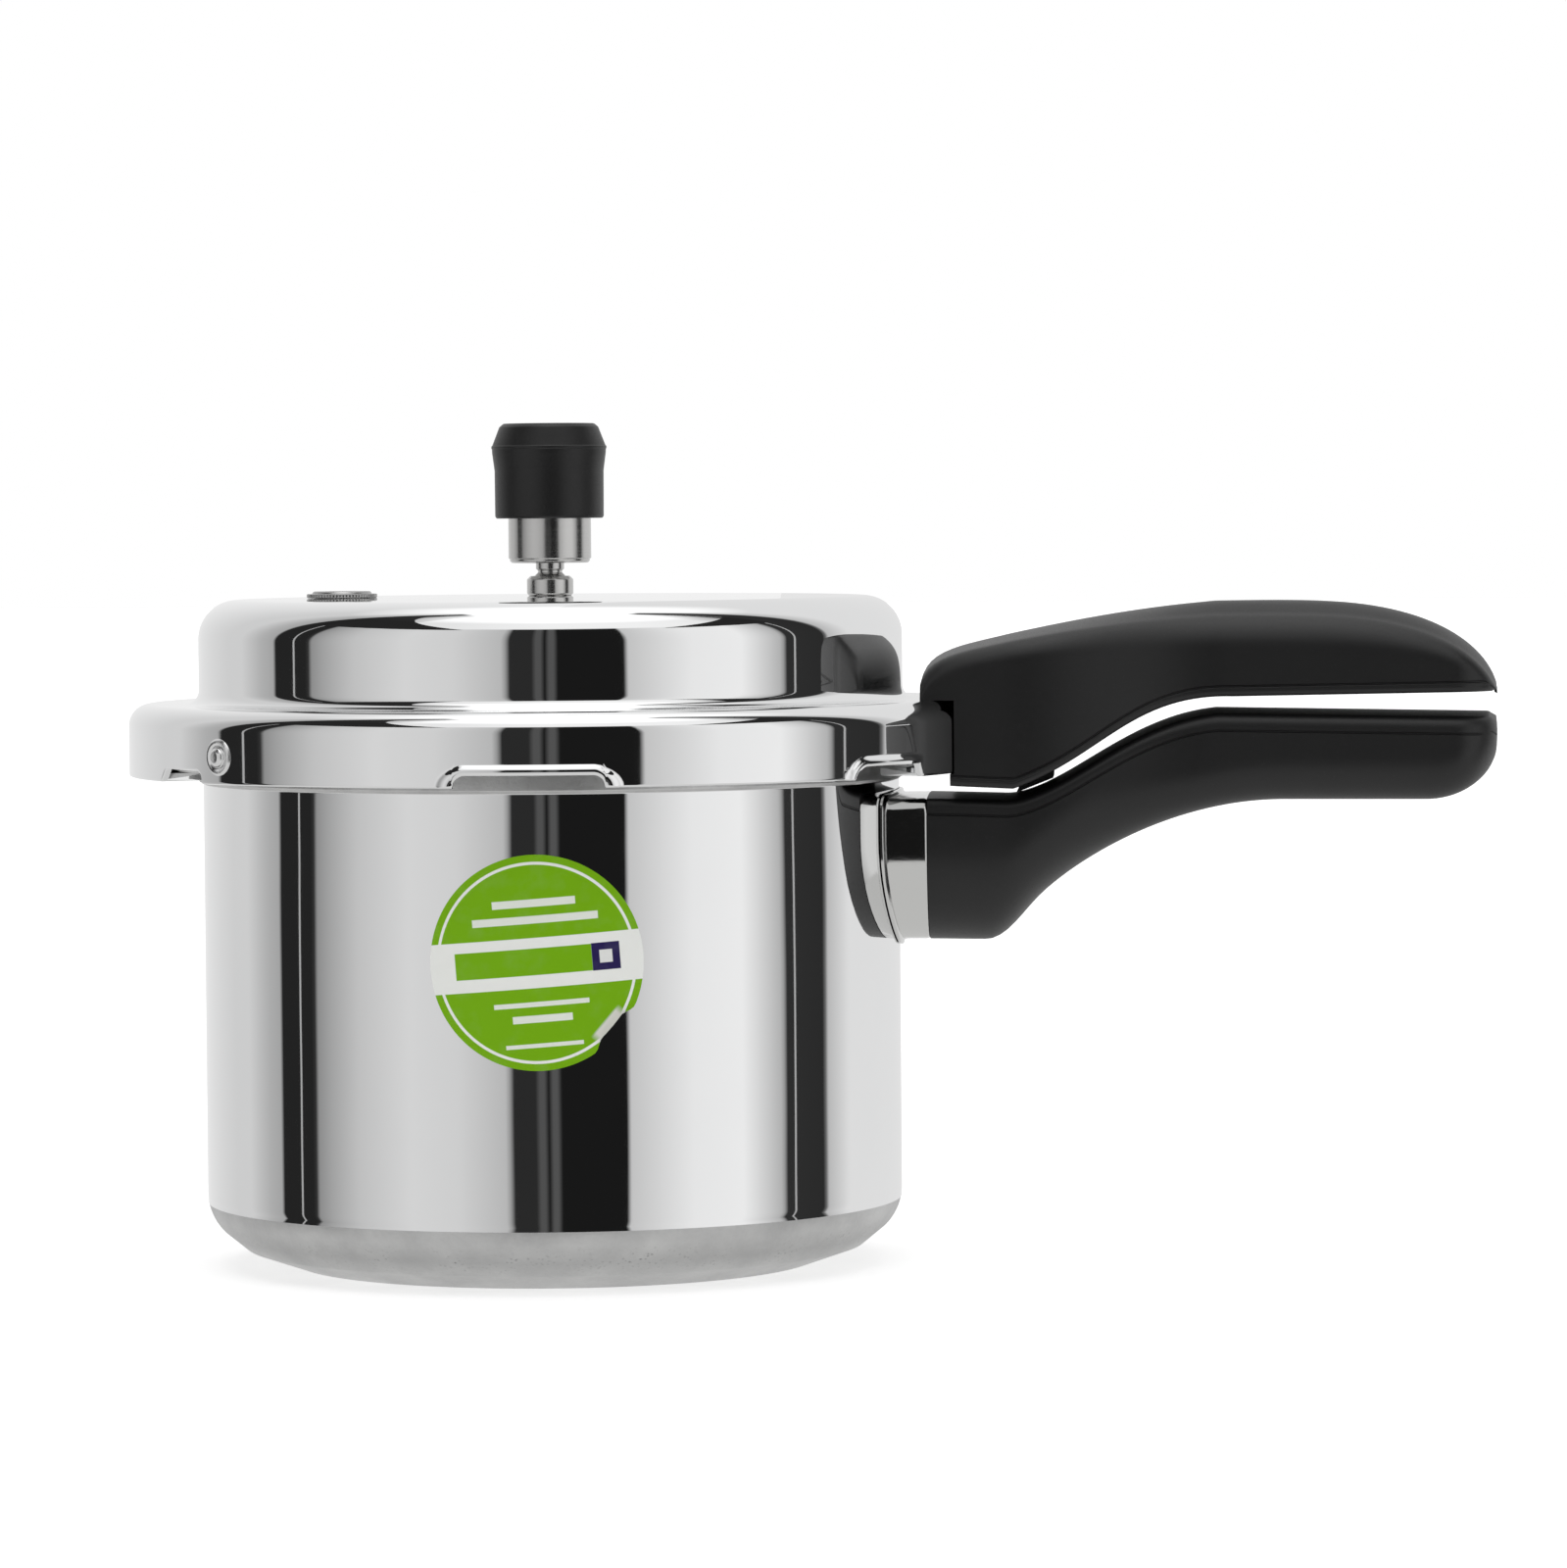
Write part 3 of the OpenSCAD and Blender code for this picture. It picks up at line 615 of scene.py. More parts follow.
def build_lid():
    """Spun lid: crowned top, dome wall, flange with a round edge, and a skirt with reliefs and a window."""
    angles = lid_angles()
    count = len(angles)
    radial = np.stack([np.cos(np.radians(angles)), np.sin(np.radians(angles))], axis=1)
    folded = (angles + 90) % 180 - 90
    along = np.radians((angles - WINDOW_DEG + 180) % 360 - 180) * SKIRT_R
    bottom = np.array([lower_edge(f, s) for f, s in zip(folded, along)])
    rows = []

    def row(r, z):
        r = np.broadcast_to(np.asarray(r, dtype=float), (count,))
        rows.append(np.column_stack([radial * r[:, None], np.broadcast_to(z, (count,))]))

    corner, crown = 10.0, 0.5
    flat_r = DOME_R - corner
    corner_z = TOP_Z - crown - corner
    for r in (0.0, 4.0, 10.0, 20.0, 32.0, 44.0, 56.0, 66.0, 73.0):
        row(r, TOP_Z - crown * smooth(r / flat_r))
    for r, z in arc((flat_r, corner_z), corner, 90, 0, 26):
        row(r, z)
    for k in range(1, 7):
        row(DOME_R, corner_z + (FLANGE_Z + FOOT_R - corner_z) * k / 6)
    for r, z in arc((DOME_R + FOOT_R, FLANGE_Z + FOOT_R), FOOT_R, 180, 270, 10)[1:]:
        row(r, z)
    edge_in = SKIRT_R - EDGE_R
    for k in (0.33, 0.67):
        row(DOME_R + FOOT_R + (edge_in - DOME_R - FOOT_R) * k, FLANGE_Z)
    for r, z in arc((edge_in, FLANGE_Z - EDGE_R), EDGE_R, 90, 0, 16):
        row(r, z)
    wall_top = FLANGE_Z - EDGE_R
    steps = 44
    for k in range(1, steps + 1):
        z = wall_top + (bottom + 0.5 - wall_top) * k / steps
        bead = np.zeros(count)
        for j in range(count):
            if abs(along[j]) < WINDOW_HALF + 7:
                bead[j] = flare(window_distance(along[j], z[j]))
            if RELIEF_DEG[0] - 4 < folded[j] < LIP_DEG[0]:
                bead[j] = flare(arch_distance(folded[j], z[j])) * smooth((LIP_DEG[0] - folded[j]) / 4)
        row(SKIRT_R + bead, z)
    skin = rows[-1][:, :2]
    for degrees in (45, 90):
        inward = 0.5 * (1 - math.cos(math.radians(degrees)))
        upward = 0.5 * (1 - math.sin(math.radians(degrees)))
        rows.append(np.column_stack([skin - radial * inward, bottom + upward]))
    inner = SKIRT_R - SHEET
    row(inner + 0.4, bottom)
    lip = np.array([LIP_DEG[0] + 0.6 < f < LIP_DEG[1] - 0.6 for f in folded])
    row(np.where(lip, LIP_R + 0.4, inner), np.where(lip, SKIRT_Z, bottom + 0.4))
    row(np.where(lip, LIP_R, inner), np.where(lip, SKIRT_Z + 0.4, bottom + 0.45))
    row(np.where(lip, LIP_R, inner), np.where(lip, SKIRT_Z + LIP_T - 0.3, bottom + 0.5))
    row(np.where(lip, LIP_R + 0.3, inner), np.where(lip, SKIRT_Z + LIP_T, bottom + 0.55))
    row(inner, np.where(lip, SKIRT_Z + LIP_T, bottom + 0.6))
    roof = FLANGE_Z - SHEET
    for r, z in arc((inner - 1.0, roof - 1.0), 1.0, 0, 90, 4):
        row(r, z)
    rib = 91.55
    for r, z in ((rib + 1.4, roof), (rib + 1.4, RIM_Z + 2.0), (rib, RIM_Z + 2.0), (rib, roof)):
        row(r, z)
    in_r = DOME_R - SHEET
    in_corner = corner - SHEET
    top_in = TOP_Z - SHEET - crown
    row(in_r + 0.3, roof)
    row(in_r, roof + 0.5)
    for r, z in arc((in_r - in_corner, top_in - in_corner), in_corner, 0, 90, 10):
        row(r, z)
    row(40.0, top_in)
    row(0.0, top_in)
    return make_mesh("lid", np.concatenate(rows), grid_faces(len(rows), count), "lid", "polished_aluminium",
                     M["polished_aluminium"], replaces=["lid_shell"], sharp=40.0)


# ---------------------------------------------------------------- handles

def curve(a, b, c, d):
    """A cubic curve as a function of 0 to 1."""
    def at(t):
        u = 1 - t
        return tuple(u ** 3 * p + 3 * u * u * t * q + 3 * u * t * t * r + t ** 3 * s
                     for p, q, r, s in zip(a, b, c, d))
    return at


def height_on(pieces, x):
    """Height of a line made of curves and straight pieces, at a given x."""
    line = []
    for piece in pieces:
        line += [piece(k / 40) for k in range(41)] if callable(piece) else [piece]
    for (x0, z0), (x1, z1) in zip(line, line[1:]):
        if min(x0, x1) <= x <= max(x0, x1) and abs(x1 - x0) > 1e-9:
            return z0 + (z1 - z0) * (x - x0) / (x1 - x0)
    return line[0][1] if abs(x - line[0][0]) < abs(x - line[-1][0]) else line[-1][1]


def plan_half_width(x, root_w, x1, x2):
    """Half width of a handle seen from above, with its rounded end."""
    over = x - (GRIP_END - END_R)
    if over > 0:
        return GRIP_W - END_R + math.sqrt(max(0.0, END_R ** 2 - over ** 2))
    return root_w + (GRIP_W - root_w) * smooth((x - x1) / (x2 - x1))


def section(half, low, high, top_r, bottom_r, crown, groove_z, groove, lip):
    """A handle's cross-section as an open half loop from the bottom's middle to the top's middle."""
    side_top = high - crown
    height = side_top - low
    top_r = min(top_r, height * 0.48, half * 0.9)
    rise = min(bottom_r * 1.15, height * 0.72)
    bottom_r = min(bottom_r, half * 0.96)
    points = [(half * k / 6 * (1 - bottom_r / half), low) for k in range(6)]
    points += arc((half - bottom_r, low + rise), (bottom_r, rise), -90, 0, 12)
    g0, g1 = groove_z - groove, groove_z + groove
    floor, ceiling = low + rise, side_top - top_r
    g0 = min(max(g0, floor + 0.05), ceiling - 0.4)
    g1 = min(max(g1, g0 + 0.1), ceiling - 0.1)
    depth = groove if g1 - g0 > groove else 0.0
    side = [floor + (g0 - floor) * k / 5 for k in range(1, 5)]
    points += [(half + lip * (1 if z < g0 else 0), z) for z in side]
    wide = g1 - g0
    points += [(half, g0), (half - depth, g0 + wide * 0.35), (half - depth, g0 + wide * 0.65), (half, g1)]
    points += [(half, g1 + (ceiling - g1) * k / 5) for k in range(1, 5)]
    points += arc((half - top_r, side_top - top_r), top_r, 0, 78, 10)
    last_y, last_z = points[-1]
    for k in range(1, 9):
        t = k / 8
        points.append((last_y * (1 - t), last_z + (high - last_z) * math.sin(t * math.pi / 2)))
    return points


def loft(stations):
    """Points and faces of a closed skin over half sections, mirrored in the XZ plane."""
    rings = []
    for x, half in stations:
        ring = [(x, y, z) for y, z in half] + [(x, -y, z) for y, z in reversed(half[1:-1])]
        rings.append(ring)
    n = len(rings[0])
    points = [p for ring in rings for p in ring]
    faces = grid_faces(len(rings), n)
    half_n = (n + 2) // 2
    for base, flip in ((0, True), ((len(rings) - 1) * n, False)):
        for k in range(half_n - 1):
            a, b = base + k, base + k + 1
            c, d = base + (n - k - 1) % n, base + (n - k) % n
            face = [a, b, c, d]
            if k == 0:
                face = [a, b, c]
            if k == half_n - 2:
                face = [a, b, d]
            faces.append(tuple(face[::-1] if flip else face))
    return np.array(points), faces


def end_spaced(start, end, count, power=2.2):
    """Stations that crowd towards the far end."""
    return [start + (end - start) * (1 - (1 - k / count) ** power) for k in range(count + 1)]


def subtract(obj, points, faces):
    """Cuts a closed shape out of a piece and keeps the result as its mesh."""
    mesh = bpy.data.meshes.new("cutter")
    mesh.from_pydata([tuple(p) for p in np.asarray(points, dtype=float) * MM], [], faces)
    bm = bmesh.new()
    bm.from_mesh(mesh)
    bmesh.ops.recalc_face_normals(bm, faces=bm.faces)
    bm.to_mesh(mesh)
    bm.free()
    cutter = bpy.data.objects.new("cutter", mesh)
    bpy.context.scene.collection.objects.link(cutter)
    modifier = obj.modifiers.new("cut", "BOOLEAN")
    modifier.operation = "DIFFERENCE"
    modifier.solver = "EXACT"
    modifier.object = cutter
    graph = bpy.context.evaluated_depsgraph_get()
    result = bpy.data.meshes.new_from_object(obj.evaluated_get(graph))
    obj.modifiers.remove(modifier)
    old = obj.data
    obj.data = result
    bpy.data.meshes.remove(old)
    bpy.data.objects.remove(cutter)
    bpy.data.meshes.remove(mesh)
    obj.data.set_sharp_from_angle(angle=math.radians(32))


def prism(outline, z0, z1):
    """Points and faces of an upright prism."""
    n = len(outline)
    points = [(x, y, z0) for x, y in outline] + [(x, y, z1) for x, y in outline]
    faces = [tuple(range(n))[::-1], tuple(range(n, 2 * n))]
    faces += [(k, (k + 1) % n, n + (k + 1) % n, n + k) for k in range(n)]
    return points, faces


def build_lid_handle():
    """Upper handle: crowned back, thin lower lip, a nose over the flange and a notch round the rim."""
    nose_x = LID_GRIP_LOW.x
    front_x = 104.0
    end_z = 148.7
    top = [curve((nose_x, 150.5), (nose_x + 1.1, 158.0), (107.0, 159.0), (119.0, 161.9)),
           curve((119.0, 161.9), (131.0, 164.4), (150.0, 168.4), (172.0, 170.0)),
           curve((172.0, 170.0), (190.0, 170.2), (198.0, 170.0), (205.3, 169.4)),
           curve((205.3, 169.4), (229.0, 167.2), (241.0, 158.0), (GRIP_END, end_z))]
    under = [(nose_x, 124.2), (106.0, 123.6), (120.2, 122.9),
             curve((120.2, 122.9), (143.0, 131.0), (150.0, 146.5), (176.0, 145.7)),
             (GRIP_END - 1.5, 146.5), (GRIP_END, 147.6)]
    stations = []
    xs = [nose_x + 0.05, nose_x + 0.5, nose_x + 1.2, nose_x + 2.2, nose_x + 3.6, nose_x + 5.5] \
        + [104 + 2 * k for k in range(46)] + end_spaced(196, GRIP_END - 0.02, 34)
    for x in xs:
        high = height_on(top, x)
        low = height_on(under, x)
        half = plan_half_width(x, LID_GRIP_HIGH.y, *LID_WAIST)
        grow = smooth((x - 100) / 80)
        top_r = 5.0 + 5.0 * grow
        stations.append((x, section(half, low, high, top_r, 1.4, 1.2 + 1.8 * grow, low + 2.6, 0.32, 0.15)))
    handle = make_mesh("upper_handle", *loft(stations), "lid", "black_phenolic", M["black_phenolic"],
                       replaces=["lid_handle"])
    far = LID_GRIP_HIGH.y + 5
    front = [(nose_x - 5, -far), (front_x, -far), (front_x, far), (nose_x - 5, far)]
    subtract(handle, *prism(front, 100, FLANGE_Z))
    disc = [(60.0, 0.0)] + arc((0, 0), SKIRT_R + 0.3, -40, 40, 64)
    subtract(handle, *prism(disc, SKIRT_Z - 0.25, FLANGE_Z))
    return handle


def build_body_handle():
    """Lower handle: square above, round below, deep at the root, with a moulding groove near its top edge."""
    root_x = POT_GRIP_LOW.x
    top = [(root_x, 121.0), (119.0, 120.5),
           curve((119.0, 120.5), (134.0, 122.5), (149.0, 140.5), (172.0, 142.6)),
           (GRIP_END - 2.0, 141.2), (GRIP_END, 140.0)]
    under = [(root_x, 83.2), (112.0, 83.0),
             curve((112.0, 83.0), (116.5, 82.8), (120.5, 88.2), (124.3, 92.5)),
             curve((124.3, 92.5), (131.5, 100.9), (158.0, 119.5), (190.0, 119.0)), (226.0, 118.8),
             curve((226.0, 118.8), (236.0, 119.0), (GRIP_END, 126.0), (GRIP_END, 132.0))]
    stations = []
    xs = [root_x + 2 * k for k in range(50)] + end_spaced(198, GRIP_END - 0.02, 34)
    for x in xs:
        high = height_on(top, x)
        low = height_on(under, x)
        half = plan_half_width(x, POT_GRIP_HIGH.y, *POT_WAIST)
        grip = smooth((x - 100) / 70)
        bottom_r = 24.9 - 15.0 * grip
        stations.append((x, section(half, low, high, 2.2 + 1.3 * grip, bottom_r, 0.6 + 0.5 * grip,
                                    high - 4.6 - grip, 0.35, 0.0)))
    handle = make_mesh("lower_handle", *loft(stations), "pot", "black_phenolic", M["black_phenolic"],
                       replaces=["body_handle"])
    screw_low, screw_high = box_mm("body_handle_screw")
    middle = (screw_low + screw_high) / 2
    counterbore_r, head_h = 5.6, 2.6
    rim = arc((middle.x, middle.y), counterbore_r, 0, 354, 59)
    subtract(handle, *prism(rim, 70.0, screw_low.z + head_h))
    return handle


def build_ferrule():
    """Polished sleeve between pot and lower handle, with a narrow flange that follows the pot's wall."""
    end_x = GUARD_HIGH.x
    wide, low, high, middle = 26.0, 83.2, 121.0, 103.0
    half = section(wide, low, high, 3.6, 24.9, 0.6, 114.0, 0.0, 0.0)
    ring = half + [(-y, z) for y, z in reversed(half[1:-1])]

    def shrunk(d):
        """The sleeve's outline, made smaller by about d on every side."""
        return [(y * (1 - d / wide), middle + (z - middle) * (1 - d / 19.0)) for y, z in ring]

    def at_wall(points, off):
        return [(math.sqrt((POT_R + off) ** 2 - y * y), y, z) for y, z in points]

    def at_end(points, x):
        return [(x, y, z) for y, z in points]

    outer, inner, flange = shrunk(0.0), shrunk(1.3), shrunk(-1.3)
    layers = [at_wall(inner, 0.25), at_wall(flange, 0.25), at_wall(flange, 0.8), at_wall(shrunk(-0.9), 1.15),
              at_wall(shrunk(-0.2), 1.3), at_wall(outer, 1.9), at_end(outer, end_x - 0.8),
              at_end(shrunk(0.25), end_x - 0.2), at_end(shrunk(0.6), end_x), at_end(inner, end_x)]
    points = [p for layer in layers for p in layer]
    faces = grid_faces(len(layers), len(ring), wrap_rows=True)
    return make_mesh("ferrule", points, faces, "pot", "bright_steel", M["bright_steel"],
                     replaces=["flame_guard"])


# ---------------------------------------------------------------- vent, weight and valve

def build_vent():
    """Vent pipe: threaded shank, chamfered collar and the slim stem with its conical seat."""
    collar_r, collar_top = 6.0, TOP_Z + 5.1
    bore_r, shank_r, stem_r = 1.25, 4.45, 3.65
    profile = filleted([(bore_r, PIPE_LOW.z, 0), (shank_r, PIPE_LOW.z, 0.3), (shank_r, TOP_Z, 0),
                        (collar_r - 0.5, TOP_Z, 0.2),
                        (collar_r, TOP_Z + 0.6, 0.3), (collar_r, collar_top - 0.9, 0.3),
                        (collar_r - 0.9, collar_top, 0.3), (stem_r + 0.4, collar_top, 0.3),
                        (stem_r - 0.5, collar_top + 0.9, 0.3), (stem_r - 0.5, collar_top + 1.4, 0.3),
                        (stem_r, collar_top + 1.8, 0.3), (stem_r, PIPE_HIGH.z - 0.4, 0.2),
                        (stem_r - 0.4, PIPE_HIGH.z, 0.1), (2.75, PIPE_HIGH.z, 0.1),
                        (bore_r, PIPE_HIGH.z - 1.5, 0)])
    return make_mesh("vent_stem", *turned(profile, 96, closed=True), "lid", "nickel_plate", M["nickel_plate"],
                     replaces=["vent_pipe"])


def build_weight():
    """The weight's turned body, hollow over the stem, and its moulded cap."""
    r = WEIGHT_HIGH.x
    z0, z1 = WEIGHT_LOW.z, WEIGHT_HIGH.z
    bore_r, bore_top = 4.4, 203.5
    needle_r, pocket_r, pocket_z = 2.5, 5.0, 206.0
    profile = filleted([(bore_r, z0 + 0.5, 0), (bore_r + 0.5, z0, 0), (r - 0.9, z0, 0.2),
                        (r - 0.35, z0 + 0.5, 0.2), (r - 0.35, z0 + 1.0, 0.1), (r, z0 + 1.2, 0.15),
                        (r, z1 - 0.5, 0.2), (r - 0.5, z1, 0.1), (pocket_r, z1, 0.1), (pocket_r, pocket_z, 0),
                        (needle_r, pocket_z, 0), (needle_r, bore_top, 0), (bore_r, bore_top, 0)])
    make_mesh("weight_shell", *turned(profile, 128, closed=True), "weight", "nickel_plate", M["nickel_plate"],
              replaces=["weight_body"])
    cap = CAP_HIGH.x
    top, low = CAP_HIGH.z, CAP_LOW.z
    neck = cap - 0.85
    profile = filleted([(0, z1 + 0.02, 0), (r + 0.05, z1 + 0.02, 0), (r + 0.05, 204.0, 0), (11.6, 204.0, 0.3),
                        (12.4, 203.0, 0.3), (12.6, low + 0.2, 0.2), (13.0, low, 0.3), (neck - 0.3, low, 0.5),
                        (neck, low + 0.6, 0.5), (neck + 0.05, top - 12.2, 3.0), (cap - 0.2, top - 7.6, 3.0),
                        (cap - 0.15, top - 6.6, 0.5), (cap, top - 6.4, 0.12), (cap, top - 5.9, 0.12),
                        (cap - 0.25, top - 5.7, 0.3), (12.8, top - 0.9, 1.0), (11.7, top, 0.8), (0, top, 0)])
    make_mesh("weight_hood", *turned(subdivided(profile, 3.0), 128), "weight", "black_phenolic",
              M["black_phenolic"], replaces=["weight_cap"])


def build_safety_valve():
    """Low stepped head with a knurled edge and its shank, open in the middle round the fusible plug."""
    cx = (VALVE_LOW.x + VALVE_HIGH.x) / 2
    cy = (VALVE_LOW.y + VALVE_HIGH.y) / 2
    r = (VALVE_HIGH.x - VALVE_LOW.x) / 2
    z0, z1 = VALVE_LOW.z, VALVE_HIGH.z
    seat = TOP_Z - 0.35
    plug_r, shank_r = 3.5, 5.95
    profile = filleted([(plug_r, z0, 0), (shank_r, z0, 0.2), (shank_r, seat, 0), (r - 0.3, seat, 0.1),
                        (r, seat + 0.25, 0.1), (r, seat + 0.95, 0.15), (r - 0.25, seat + 1.1, 0.1),
                        (r - 1.4, seat + 1.15, 0.1), (r - 1.6, z1 - 0.3, 0.15), (r - 1.9, z1, 0.15),
                        (plug_r + 0.7, z1, 0.1), (plug_r, z1 - 0.3, 0.1)])
    points, faces = turned(profile, 180, closed=True, axis=(cx, cy))
    knurl = []
    for x, y, z in points:
        d = math.hypot(x - cx, y - cy)
        if d > r - 0.05:
            a = math.atan2(y - cy, x - cx)
            d_new = d - 0.16 * (0.5 + 0.5 * math.cos(60 * a))
            x, y = cx + (x - cx) * d_new / d, cy + (y - cy) * d_new / d
        knurl.append((x, y, z))
    metal = turned_metal("valve_nickel", (0.46, 0.46, 0.455), 0.2, axis=(cx, cy))
    make_mesh("safety_valve_head", knurl, faces, "lid", "nickel_plate", metal, replaces=["safety_valve_body"])


def build_stop_rivet():
    """Stop rivet: a washer-like ring pressed in the skirt and a domed head, on its own horizontal axis."""
    azimuth = math.radians(STOP_DEG)
    pin = 10.0
    profile = filleted([(0, -pin, 0), (1.95, -pin, 0.2), (1.95, -0.2, 0), (4.65, -0.2, 0.1), (4.65, 0.1, 0.2),
                        (4.1, 0.6, 0.3), (3.5, 0.55, 0.3), (2.9, 0.1, 0.4), (2.5, 0.25, 0.3), (2.3, 0.9, 0.6),
                        (1.5, 1.55, 0.8), (0, 1.6, 0)])
    points, faces = turned(profile, 72)
    turn = Matrix.Rotation(azimuth, 3, "Z") @ Matrix.Rotation(math.radians(90), 3, "Y")
    away = Vector((math.cos(azimuth), math.sin(azimuth), 0)) * SKIRT_R + Vector((0, 0, STOP_Z))
    placed = [turn @ Vector(p) + away for p in points]
    make_mesh("stop_rivet", placed, faces, "lid", "satin_aluminium", M["satin_aluminium"],
              replaces=["lid_stop_rivet"])


def build_label():
    """Round sticker on the pot, with one edge peeled away and curling."""
    rings, spokes = 26, 144
    points = []

    def lift(u, v):
        d = (u * TEAR_WAY[0] + v * TEAR_WAY[1]) - TEAR_FROM
        across = abs(v * TEAR_WAY[0] - u * TEAR_WAY[1])
        if d <= 0:
            return 0.0, 0.0
        fade = smooth((8.0 - across) / 4.5)
        return 0.05 * d * d * fade, 0.50 * d * fade

    for thickness in (0.2, 0.03):
        for i in range(rings + 1):
            r = LABEL_R * i / rings
            for k in range(spokes):
                a = 2 * math.pi * k / spokes
                u, v = r * math.cos(a), r * math.sin(a)
                out, pull = lift(u, v)
                u -= pull * TEAR_WAY[0]
                v -= pull * TEAR_WAY[1]
                angle = math.radians(LABEL_AZ) + u / POT_R
                reach = POT_R + thickness + out
                points.append((reach * math.cos(angle), reach * math.sin(angle), LABEL_Z + v))
    layer = (rings + 1) * spokes
    faces = []
    for base in (0, layer):
        faces += [tuple(v + base for v in f) for f in grid_faces(rings + 1, spokes)]
    edge = rings * spokes
    faces += [(edge + k, edge + (k + 1) % spokes, layer + edge + (k + 1) % spokes, layer + edge + k)
              for k in range(spokes)]
    make_mesh("sticker", points, faces, "pot", "printed_label", M["printed_label"], replaces=["label"])


# ---------------------------------------------------------------- CAD nodes that stay

KEPT = {
    "body_bracket": "bright_steel", "bracket_rivets": "satin_aluminium", "body_handle_screw": "zinc_steel",
    "body_handle_nut": "brass", "handle_stop_pad": "black_rubber", "gasket": "black_rubber",
    "lid_handle_screws": "zinc_steel", "lid_handle_inserts": "brass", "vent_nut": "zinc_steel",
    "vent_washer": "black_rubber", "safety_valve_plug": "fusible_alloy", "safety_valve_nut": "zinc_steel",
    "safety_valve_washer": "black_rubber", "weight_needle": "brass", "weight_clip": "zinc_steel",
}


def finish_kept_nodes():
    for name, material in KEPT.items():
        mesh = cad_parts[name].data
        if not mesh.materials:
            mesh.materials.append(M[material])
        for k in range(len(mesh.materials)):
            mesh.materials[k] = M[material]


# ---------------------------------------------------------------- studio

# dark gaps' slits, tops and frames, by azimuth from the camera and height above the horizon, in degrees
SLITS = (-89.6, 87.9)
SLIT_HALF = 0.40
MIDDLE_TOP = 38.0
SIDE_TOP = 76.0
TABLE_EDGE = -24.0
FRAME_LOW = 36.0
FRAME_FAR = 90.0
FRAMES = ((-1, 29.8, 1.74), (1, 43.0, 2.5))
FLOOR_GLOW = 0.55
CAMERA_AZIMUTH = 3.0
CAMERA_DISTANCE = 1780.0
CAMERA_HEIGHT = 195.0
CAMERA_SIDE = 60.0
CAMERA_PITCH = 2.31
CAMERA_ROLL = 0.45
FOCAL = 157.8


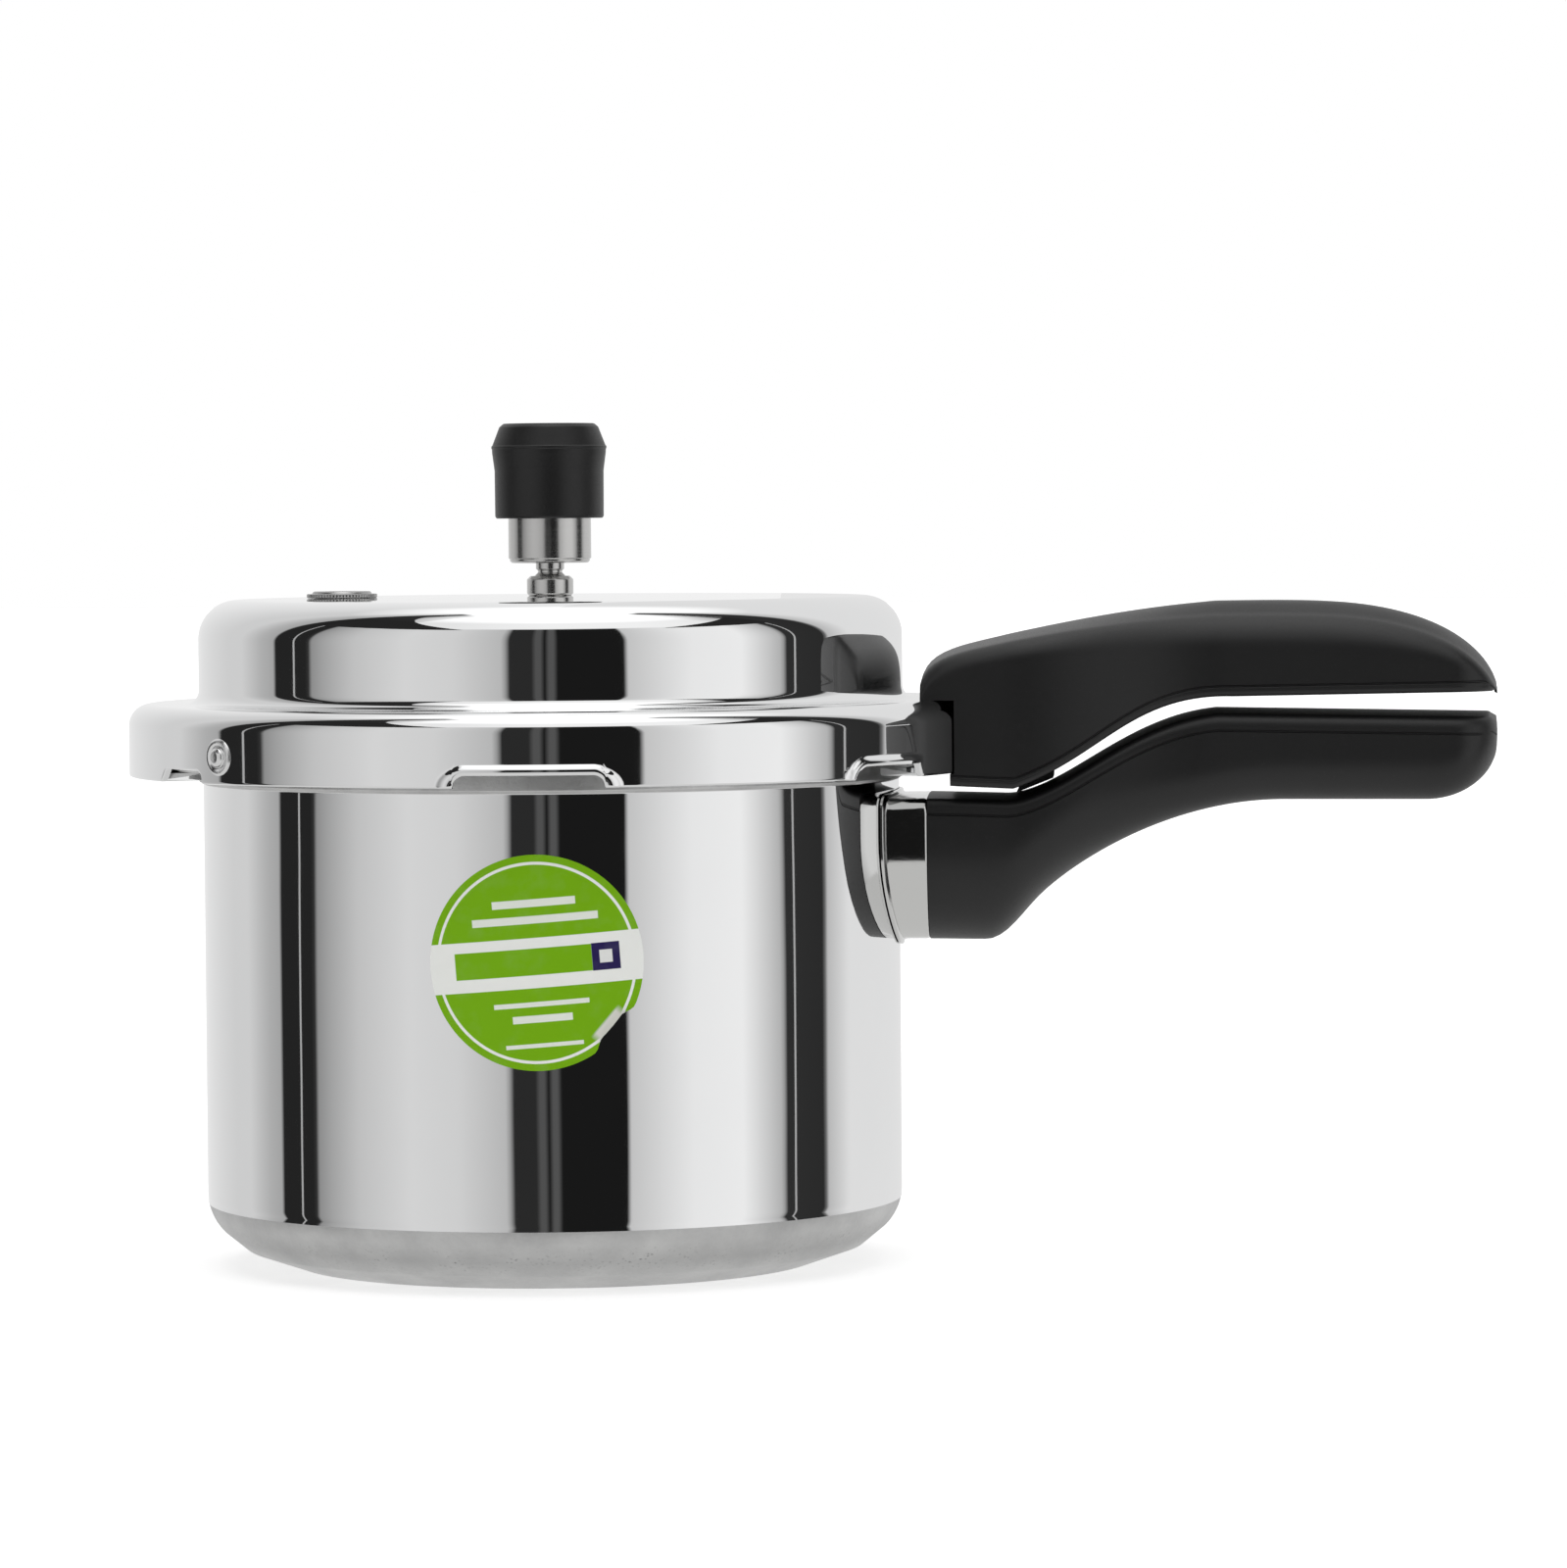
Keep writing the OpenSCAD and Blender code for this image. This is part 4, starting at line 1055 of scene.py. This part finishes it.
def world_light():
    """A pale studio that surrounds the object, with three tall dark gaps whose reflections draw the metal."""
    world = bpy.data.worlds.new("studio")
    bpy.context.scene.world = world
    world.use_nodes = True
    world.node_tree.nodes.clear()
    n = Nodes("studio", world.node_tree)
    coords = n.add("ShaderNodeTexCoord")
    turn = n.add("ShaderNodeVectorRotate", rotation_type="Z_AXIS")
    turn.inputs["Angle"].default_value = math.radians(-CAMERA_AZIMUTH)
    n.link(coords.outputs["Generated"], turn.inputs["Vector"])
    split = n.add("ShaderNodeSeparateXYZ")
    n.link(turn.outputs[0], split.inputs[0])
    x, y, z = split.outputs
    azimuth = n.math("ARCTAN2", x, n.math("MULTIPLY", y, -1.0))
    around = n.math("ADD", n.math("DIVIDE", azimuth, 2 * math.pi), 0.5)
    height = n.math("ARCSINE", z)
    lift = n.math("ADD", n.math("DIVIDE", height, math.pi), 0.5)

    def stops(*pairs):
        """Turns azimuths of -180 to 180 degrees into ramp positions."""
        return [((a + 180) / 360, v) for a, v in pairs]

    walls = n.ramp(around, stops(
        (-180, 0.88), (-150, 0.76), (-128, 0.66), (-118, 0.66), (-106, 0.46), (-99.7, 0.40), (-99.3, 0.018),
        (-83.0, 0.018), (-82.5, 0.27), (-77, 0.38), (-65, 0.57), (-46, 0.71), (-30, 0.67), (-12.8, 0.50),
        (-12.4, 0.024), (-4.0, 0.024), (-3.2, 0.085), (-0.9, 0.085), (-0.2, 0.008), (1.0, 0.008), (1.4, 0.09),
        (3.0, 0.09), (3.6, 0.010), (25.7, 0.010), (26.3, 0.58), (48, 0.86), (66, 0.90), (82.8, 0.45),
        (83.4, 0.030), (102.5, 0.025), (103.1, 0.50), (116, 0.78)))
    slits = []
    for middle in SLITS:
        away = n.math("ABSOLUTE", n.math("SUBTRACT", azimuth, math.radians(middle)))
        slits.append(n.math("LESS_THAN", away, math.radians(SLIT_HALF)))
    slit = n.mix(n.math("ADD", slits[0], slits[1]), walls, (0.42, 0.42, 0.42, 1))
    # the middle gap, behind the camera, ends below the ceiling; the side gaps go almost overhead
    open_sky = n.ramp(around, stops((-180, 0.95), (-103, 0.75), (-40, 0.85), (0, 0.95), (40, 0.95),
                                    (103, 0.85), (179, 0.95)))
    side = n.math("GREATER_THAN", n.math("ABSOLUTE", azimuth), math.radians(60))
    higher = n.math("MULTIPLY", side, math.radians(SIDE_TOP - MIDDLE_TOP))
    limit = n.math("ADD", higher, math.radians(MIDDLE_TOP))
    above = n.remap(n.math("SUBTRACT", height, limit), -0.02, 0.02, 0.0, 1.0)
    blend = n.mix(above, slit, open_sky)
    # the white table hides the gaps' lower ends
    below = n.remap(height, math.radians(TABLE_EDGE - 1), math.radians(TABLE_EDGE + 1), 0.0, 1.0)
    table = n.mix(below, (0.66, 0.66, 0.655, 1), blend)
    # a dark frame over each side wall, cut off at a slant towards the camera
    over_wall = n.math("SUBTRACT", height, math.radians(FRAME_LOW))
    framed = []
    for sign, near_side, slant in FRAMES:
        turned_away = n.math("MULTIPLY", azimuth, sign)
        near_edge = n.math("ADD", math.radians(near_side), n.math("MULTIPLY", over_wall, slant))
        part = n.math("MULTIPLY", n.math("GREATER_THAN", turned_away, near_edge),
                      n.math("LESS_THAN", turned_away, math.radians(FRAME_FAR)))
        framed.append(n.math("MULTIPLY", part, n.math("GREATER_THAN", over_wall, 0.0)))
    room = n.mix(n.math("ADD", framed[0], framed[1]), table, (0.02, 0.02, 0.02, 1))
    # a broad soft light overhead
    top = n.ramp(lift, [(0.0, 1.0), (0.80, 1.0), (0.93, 1.9), (1.0, 2.2)])
    studio = n.add("ShaderNodeBackground")
    n.link(n.mix(1.0, room, top, blend="MULTIPLY"), studio.inputs["Color"])
    backdrop = n.add("ShaderNodeBackground")
    backdrop.inputs["Color"].default_value = (1.0, 1.0, 1.0, 1)
    path = n.add("ShaderNodeLightPath")
    choose = n.add("ShaderNodeMixShader")
    n.link(path.outputs["Is Camera Ray"], choose.inputs[0])
    n.link(studio.outputs[0], choose.inputs[1])
    n.link(backdrop.outputs[0], choose.inputs[2])
    output = n.add("ShaderNodeOutputWorld")
    n.link(choose.outputs[0], output.inputs["Surface"])


def build_floor():
    """Plain pale floor, left out of the metal's reflections as a studio retoucher would."""
    size = 12.0
    mesh = bpy.data.meshes.new("floor")
    corners = [(-size, -size, 0), (size, -size, 0), (size, size, 0), (-size, size, 0)]
    mesh.from_pydata(corners, [], [(0, 1, 2, 3)])
    floor = bpy.data.objects.new("floor", mesh)
    bpy.context.scene.collection.objects.link(floor)
    n = Nodes("floor")
    n.set(Base_Color=(0.93, 0.93, 0.93, 1), Roughness=0.9)
    n.shader.inputs["Specular IOR Level"].default_value = 0.0
    n.shader.inputs["Emission Color"].default_value = (1.0, 1.0, 1.0, 1)
    n.shader.inputs["Emission Strength"].default_value = FLOOR_GLOW
    mesh.materials.append(n.material)
    floor.visible_glossy = False


def build_camera():
    """A long lens a little above the pot's middle, turned three degrees towards the handles."""
    data = bpy.data.cameras.new("camera")
    camera = bpy.data.objects.new("camera", data)
    bpy.context.scene.collection.objects.link(camera)
    data.sensor_width = 36.0
    data.lens = FOCAL
    a = math.radians(CAMERA_AZIMUTH)
    right = Vector((math.cos(a), math.sin(a), 0))
    away = Vector((-math.sin(a), math.cos(a), 0))
    camera.location = (right * CAMERA_SIDE - away * CAMERA_DISTANCE + Vector((0, 0, CAMERA_HEIGHT))) * MM
    pitch = math.radians(CAMERA_PITCH)
    forward = away * math.cos(pitch) - Vector((0, 0, 1)) * math.sin(pitch)
    up = right.cross(forward)
    roll = Matrix.Rotation(math.radians(CAMERA_ROLL), 3, forward)
    basis = Matrix((roll @ right, roll @ up, -forward)).transposed()
    camera.rotation_mode = "QUATERNION"
    camera.rotation_quaternion = basis.to_quaternion()
    data.clip_start = 0.1
    data.clip_end = 100.0
    bpy.context.scene.camera = camera


build_camera()
world_light()
build_floor()
build_pot()
build_lid()
build_lid_handle()
build_body_handle()
build_ferrule()
build_vent()
build_weight()
build_safety_valve()
build_stop_rivet()
build_label()
finish_kept_nodes()
bpy.context.scene.view_settings.view_transform = "Standard"
